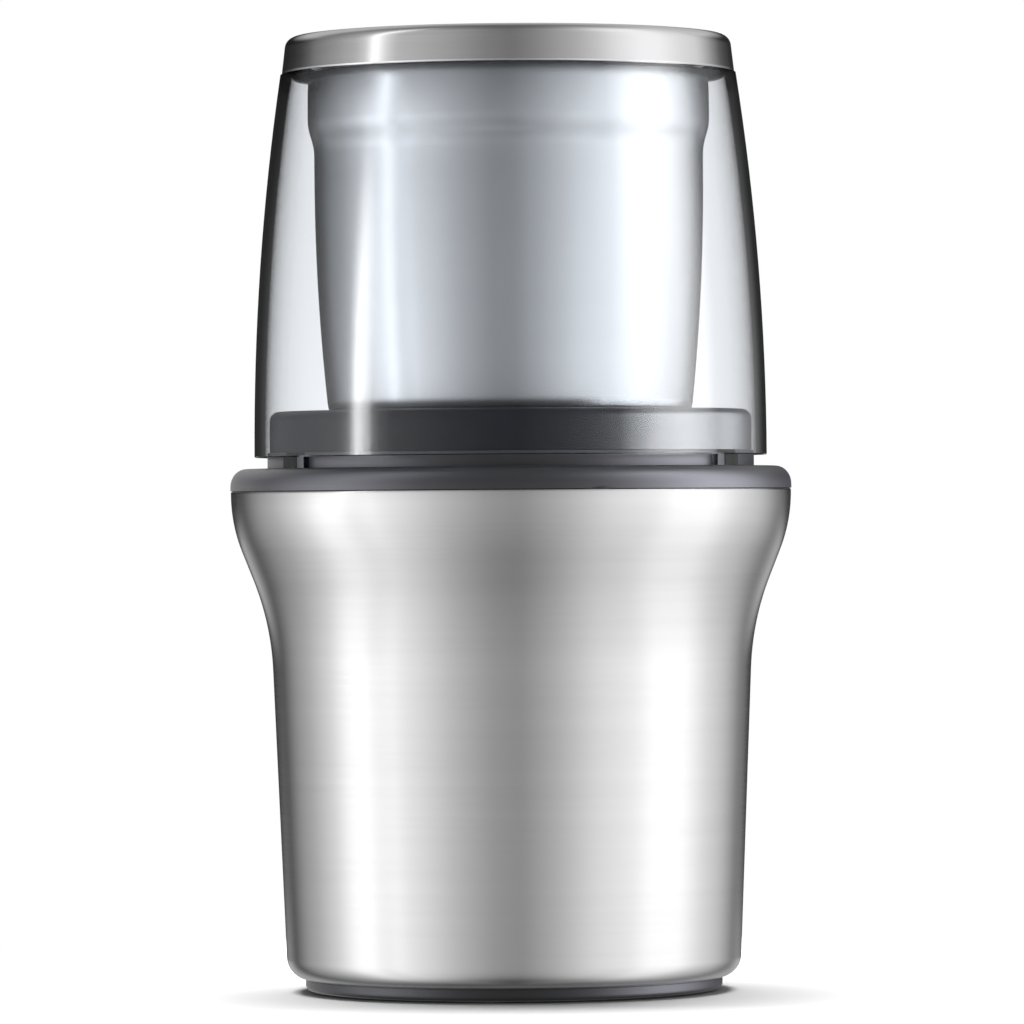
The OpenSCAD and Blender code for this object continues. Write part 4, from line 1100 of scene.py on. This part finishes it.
@dataclass
class Studio:
    """Camera, pale floor, lamps and a soft room, whose strength goes by bearing and height.

    A bearing is in degrees from the front, right positive, and a height goes from -1 to 1.
    """

    eye: Triple = (0.0002, -1.575, 0.1003)
    aim: Triple = (0.0002, 0.0, 0.1003)
    lens: float = 264.0
    sensor: float = 36.0
    clip: Point = (0.05, 20.0)
    roll: float = -0.4  # degrees
    floor_r: float = 0.2
    floor_tone: float = 0.35  # colour of the floor where it is seen directly
    floor_bounce: float = 0.08  # its colour for the light that it gives back
    lamp_place: Triple = (-0.1, 0.4, 2.0)
    lamp_size: Point = (2.0, 1.0)
    lamp_strength: float = 36.0
    peak: float = 2.0  # the strongest that the walls can be
    low_walls: tuple[Point, ...] = (  # at the horizon and below
        (-180, 0.03), (-158, 0.03), (-143, 0.1), (-129, 0.33), (-115, 0.5), (-98, 0.87),
        (-86, 1.38), (-76, 1.38), (-72, 1.14), (-66, 1.15), (-60, 1.27), (-55, 1.09), (-45, 0.93),
        (-28, 0.61), (-10, 0.39), (4, 0.33), (22, 0.55), (42, 0.9), (62, 1.05), (72, 1.3),
        (92, 1.3), (108, 0.85), (125, 0.6), (142, 0.25), (160, 0.03), (180, 0.03))
    high_walls: tuple[Point, ...] = (  # with a narrow window on the left
        (-180, 0.01), (-150, 0.01), (-134, 0.015), (-126, 0.06), (-118, 0.17), (-99, 0.3),
        (-86, 0.4), (-78, 0.65), (-73, 1.6), (-67, 0.8), (-60, 0.48), (-48, 0.45), (-30, 0.36),
        (-12, 0.23), (2, 0.18), (14, 0.25), (35, 0.45), (46, 0.6), (58, 0.87), (72, 1.05),
        (84, 1.07), (98, 0.87), (114, 0.75), (130, 0.27), (140, 0.07), (150, 0.02), (180, 0.02))
    wall_fade: Point = (0.03, 0.14)  # heights between which the high walls take over
    low_glow: tuple[Point, ...] = (  # behind the object, near the ground
        (-180, 0.42), (-160, 0.42), (-146, 0), (146, 0), (160, 0.42), (180, 0.42))
    low_fade: Point = (-0.1, -0.06)
    high_glow: tuple[Point, ...] = (  # behind the object, under the roof
        (-180, 0.5), (-135, 0.5), (-118, 0.05), (-112, 0), (118, 0), (135, 0.5), (180, 0.5))
    high_fade: Point = (0.24, 0.42)
    dims: tuple[Triple, ...] = (  # share of the light left under the first of two heights
        (0.82, -0.25, -0.16), (0.8, -0.69, -0.42), (0.25, -0.95, -0.75))
    overhead: float = 0.12
    roof_fade: Point = (0.75, 1.0)

    def camera(self) -> None:
        """Sets up the camera at the object's middle height."""
        data = bpy.data.cameras.new("camera")
        data.lens, data.sensor_width = self.lens, self.sensor
        data.clip_start, data.clip_end = self.clip
        camera = linked("camera", data)
        eye, aim = Vector(self.eye), Vector(self.aim)
        look = (aim - eye).to_track_quat("-Z", "Y").to_matrix().to_4x4()
        camera.matrix_world = (Matrix.Translation(eye) @ look
                               @ Matrix.Rotation(math.radians(self.roll), 4, "Z"))
        bpy.context.scene.camera = camera

    def floor(self) -> None:
        """Lays the floor and its own lamp, whose light falls on nothing else."""
        bm = bmesh.new()
        bmesh.ops.create_circle(bm, cap_ends=True, segments=ROUND_STEPS // 2, radius=self.floor_r)
        piece = to_object(bm, "floor")
        n = Nodes(bpy.data.materials.new("floor_paint"), "Material")
        bounce, seen = (n.add("BsdfDiffuse", Color=(tone, tone, tone, 1)).outputs[0]
                        for tone in (self.floor_bounce, self.floor_tone))
        path = n.add("LightPath").outputs
        sees = n.calc("MAXIMUM", path["Is Camera Ray"], path["Is Transmission Ray"])
        piece.data.materials.append(n.finish(n.add("MixShader", i0=sees, i1=bounce, i2=seen)))
        piece.visible_glossy = False
        lamp = area_lamp("floor_lamp", self.lamp_size, self.lamp_strength, (piece.name,))
        lamp.location = self.lamp_place

    def walls(self, n: Nodes, axes: Node) -> Socket:
        """Lights the room's walls: grey in front, white at the sides, with two glows behind.

        Args:
            n: The room's node builder.
            axes: The node that separates the direction's axes.

        Returns:
            The colour of the walls.
        """
        share, height = n.bearing(axes), axes.outputs["Z"]
        below, above = (n.ramp(share, [(angle, strength / self.peak) for angle, strength in stops])
                        for stops in (self.low_walls, self.high_walls))
        level = n.scaled(n.mix(n.spread(height, 0, 1, *self.wall_fade), below, above), self.peak)
        for stops, ends, fade in ((self.low_glow, (1, 0), self.low_fade),
                                  (self.high_glow, (0, 1), self.high_fade)):
            glow = n.scaled(n.ramp(share, stops), n.spread(height, *ends, *fade))
            level = n.add("VectorMath", p_operation="ADD", i0=level, i1=glow).outputs[0]
        for left, low, high in self.dims:
            level = n.scaled(level, n.spread(height, left, 1, low, high))
        return level

    def world(self) -> None:
        """Builds the room, which the camera and the clear lid see as plain white."""
        bpy.context.scene.world = bpy.data.worlds.new("room")
        n = Nodes(bpy.context.scene.world, "World")
        axes = n.add("SeparateXYZ", Vector=n.add("TexCoord").outputs["Generated"])
        lit = n.mix(n.spread(axes.outputs["Z"], 0, 1, *self.roof_fade), self.walls(n, axes),
                    (self.overhead, self.overhead, self.overhead, 1))
        path = n.add("LightPath").outputs
        pure = n.calc("LESS_THAN", path["Glossy Depth"], 0.5)
        through = n.calc("MULTIPLY", path["Is Transmission Ray"], pure)
        sees = n.calc("MAXIMUM", path["Is Camera Ray"], through)
        room = n.add("Background", Color=lit, Strength=1.0)
        white = n.add("Background", Color=(1, 1, 1, 1), Strength=1.0)
        n.finish(n.add("MixShader", i0=sees, i1=room.outputs[0], i2=white.outputs[0]))

    def softboxes(self) -> None:
        """Stands the lamps that the clear lid, the bowl and the mouldings mirror."""
        lid, bowl, skirt = ("lid_clear",), ("bowl_cup",), ("bowl_skirt",)
        mouldings, cool = ("top_collar_form", "base_plate_form"), (0.93, 0.93, 1.08)
        for box in (
                Softbox("lid_left", ((-84, 0), (-79, 1), (-76, 4), (-74, 13), (-71, 22),
                                     (-68, 13), (-65, 3), (-61, 0.6), (-55, 0)), lid, fade=0.25),
                Softbox("lid_right", ((50, 0), (60, 3), (70, 6), (84, 6), (95, 3), (106, 0)),
                        lid, low=-0.25),
                Softbox("bowl_left", ((-83, 0), (-79, 0.25), (-76, 0.45), (-73, 0.25), (-69, 0)),
                        bowl, inner=True),
                Softbox("bowl_right", ((-10, 0), (10, 0.1), (35, 0.2), (60, 0.4), (95, 0.4),
                                       (120, 0.4), (140, 0.3)), bowl, inner=True),
                Softbox("skirt_right", ((46, 0), (56, 7), (66, 27), (76, 40), (90, 36), (104, 20),
                                        (120, 13), (135, 11)), skirt, low=-0.3, inner=True),
                Softbox("ring_left", ((-110, 0.7), (-95, 1.4), (-76, 2.3), (-60, 1.4),
                                      (-45, 0.5)), mouldings, high=5.0, fade=5.0, color=cool),
                Softbox("ring_right", ((45, 0), (55, 1.3), (70, 3.3), (87, 5.8), (100, 4),
                                       (120, 1.6)), mouldings, high=3.0, fade=3.0, color=cool),
                Softbox("ring_rear", ((-175, 0.7), (-150, 0.7), (-125, 0.7)), mouldings)):
            box.build()

    def build(self) -> None:
        """Builds camera, floor, world and lamps."""
        self.camera()
        self.floor()
        self.world()
        self.softboxes()
        bpy.context.scene.view_settings.view_transform = "Standard"


def main() -> None:
    """Builds every sub-assembly in order, then the studio."""
    logging.basicConfig(level=logging.INFO, format="%(name)s %(message)s", force=True)
    shop = Workshop()
    for assembly in (Housing(), Lid(), Bowl(), CopiedParts()):
        assembly.build(shop)
    shop.dress_rest()
    Studio().build()


if __name__ == "__main__":
    main()
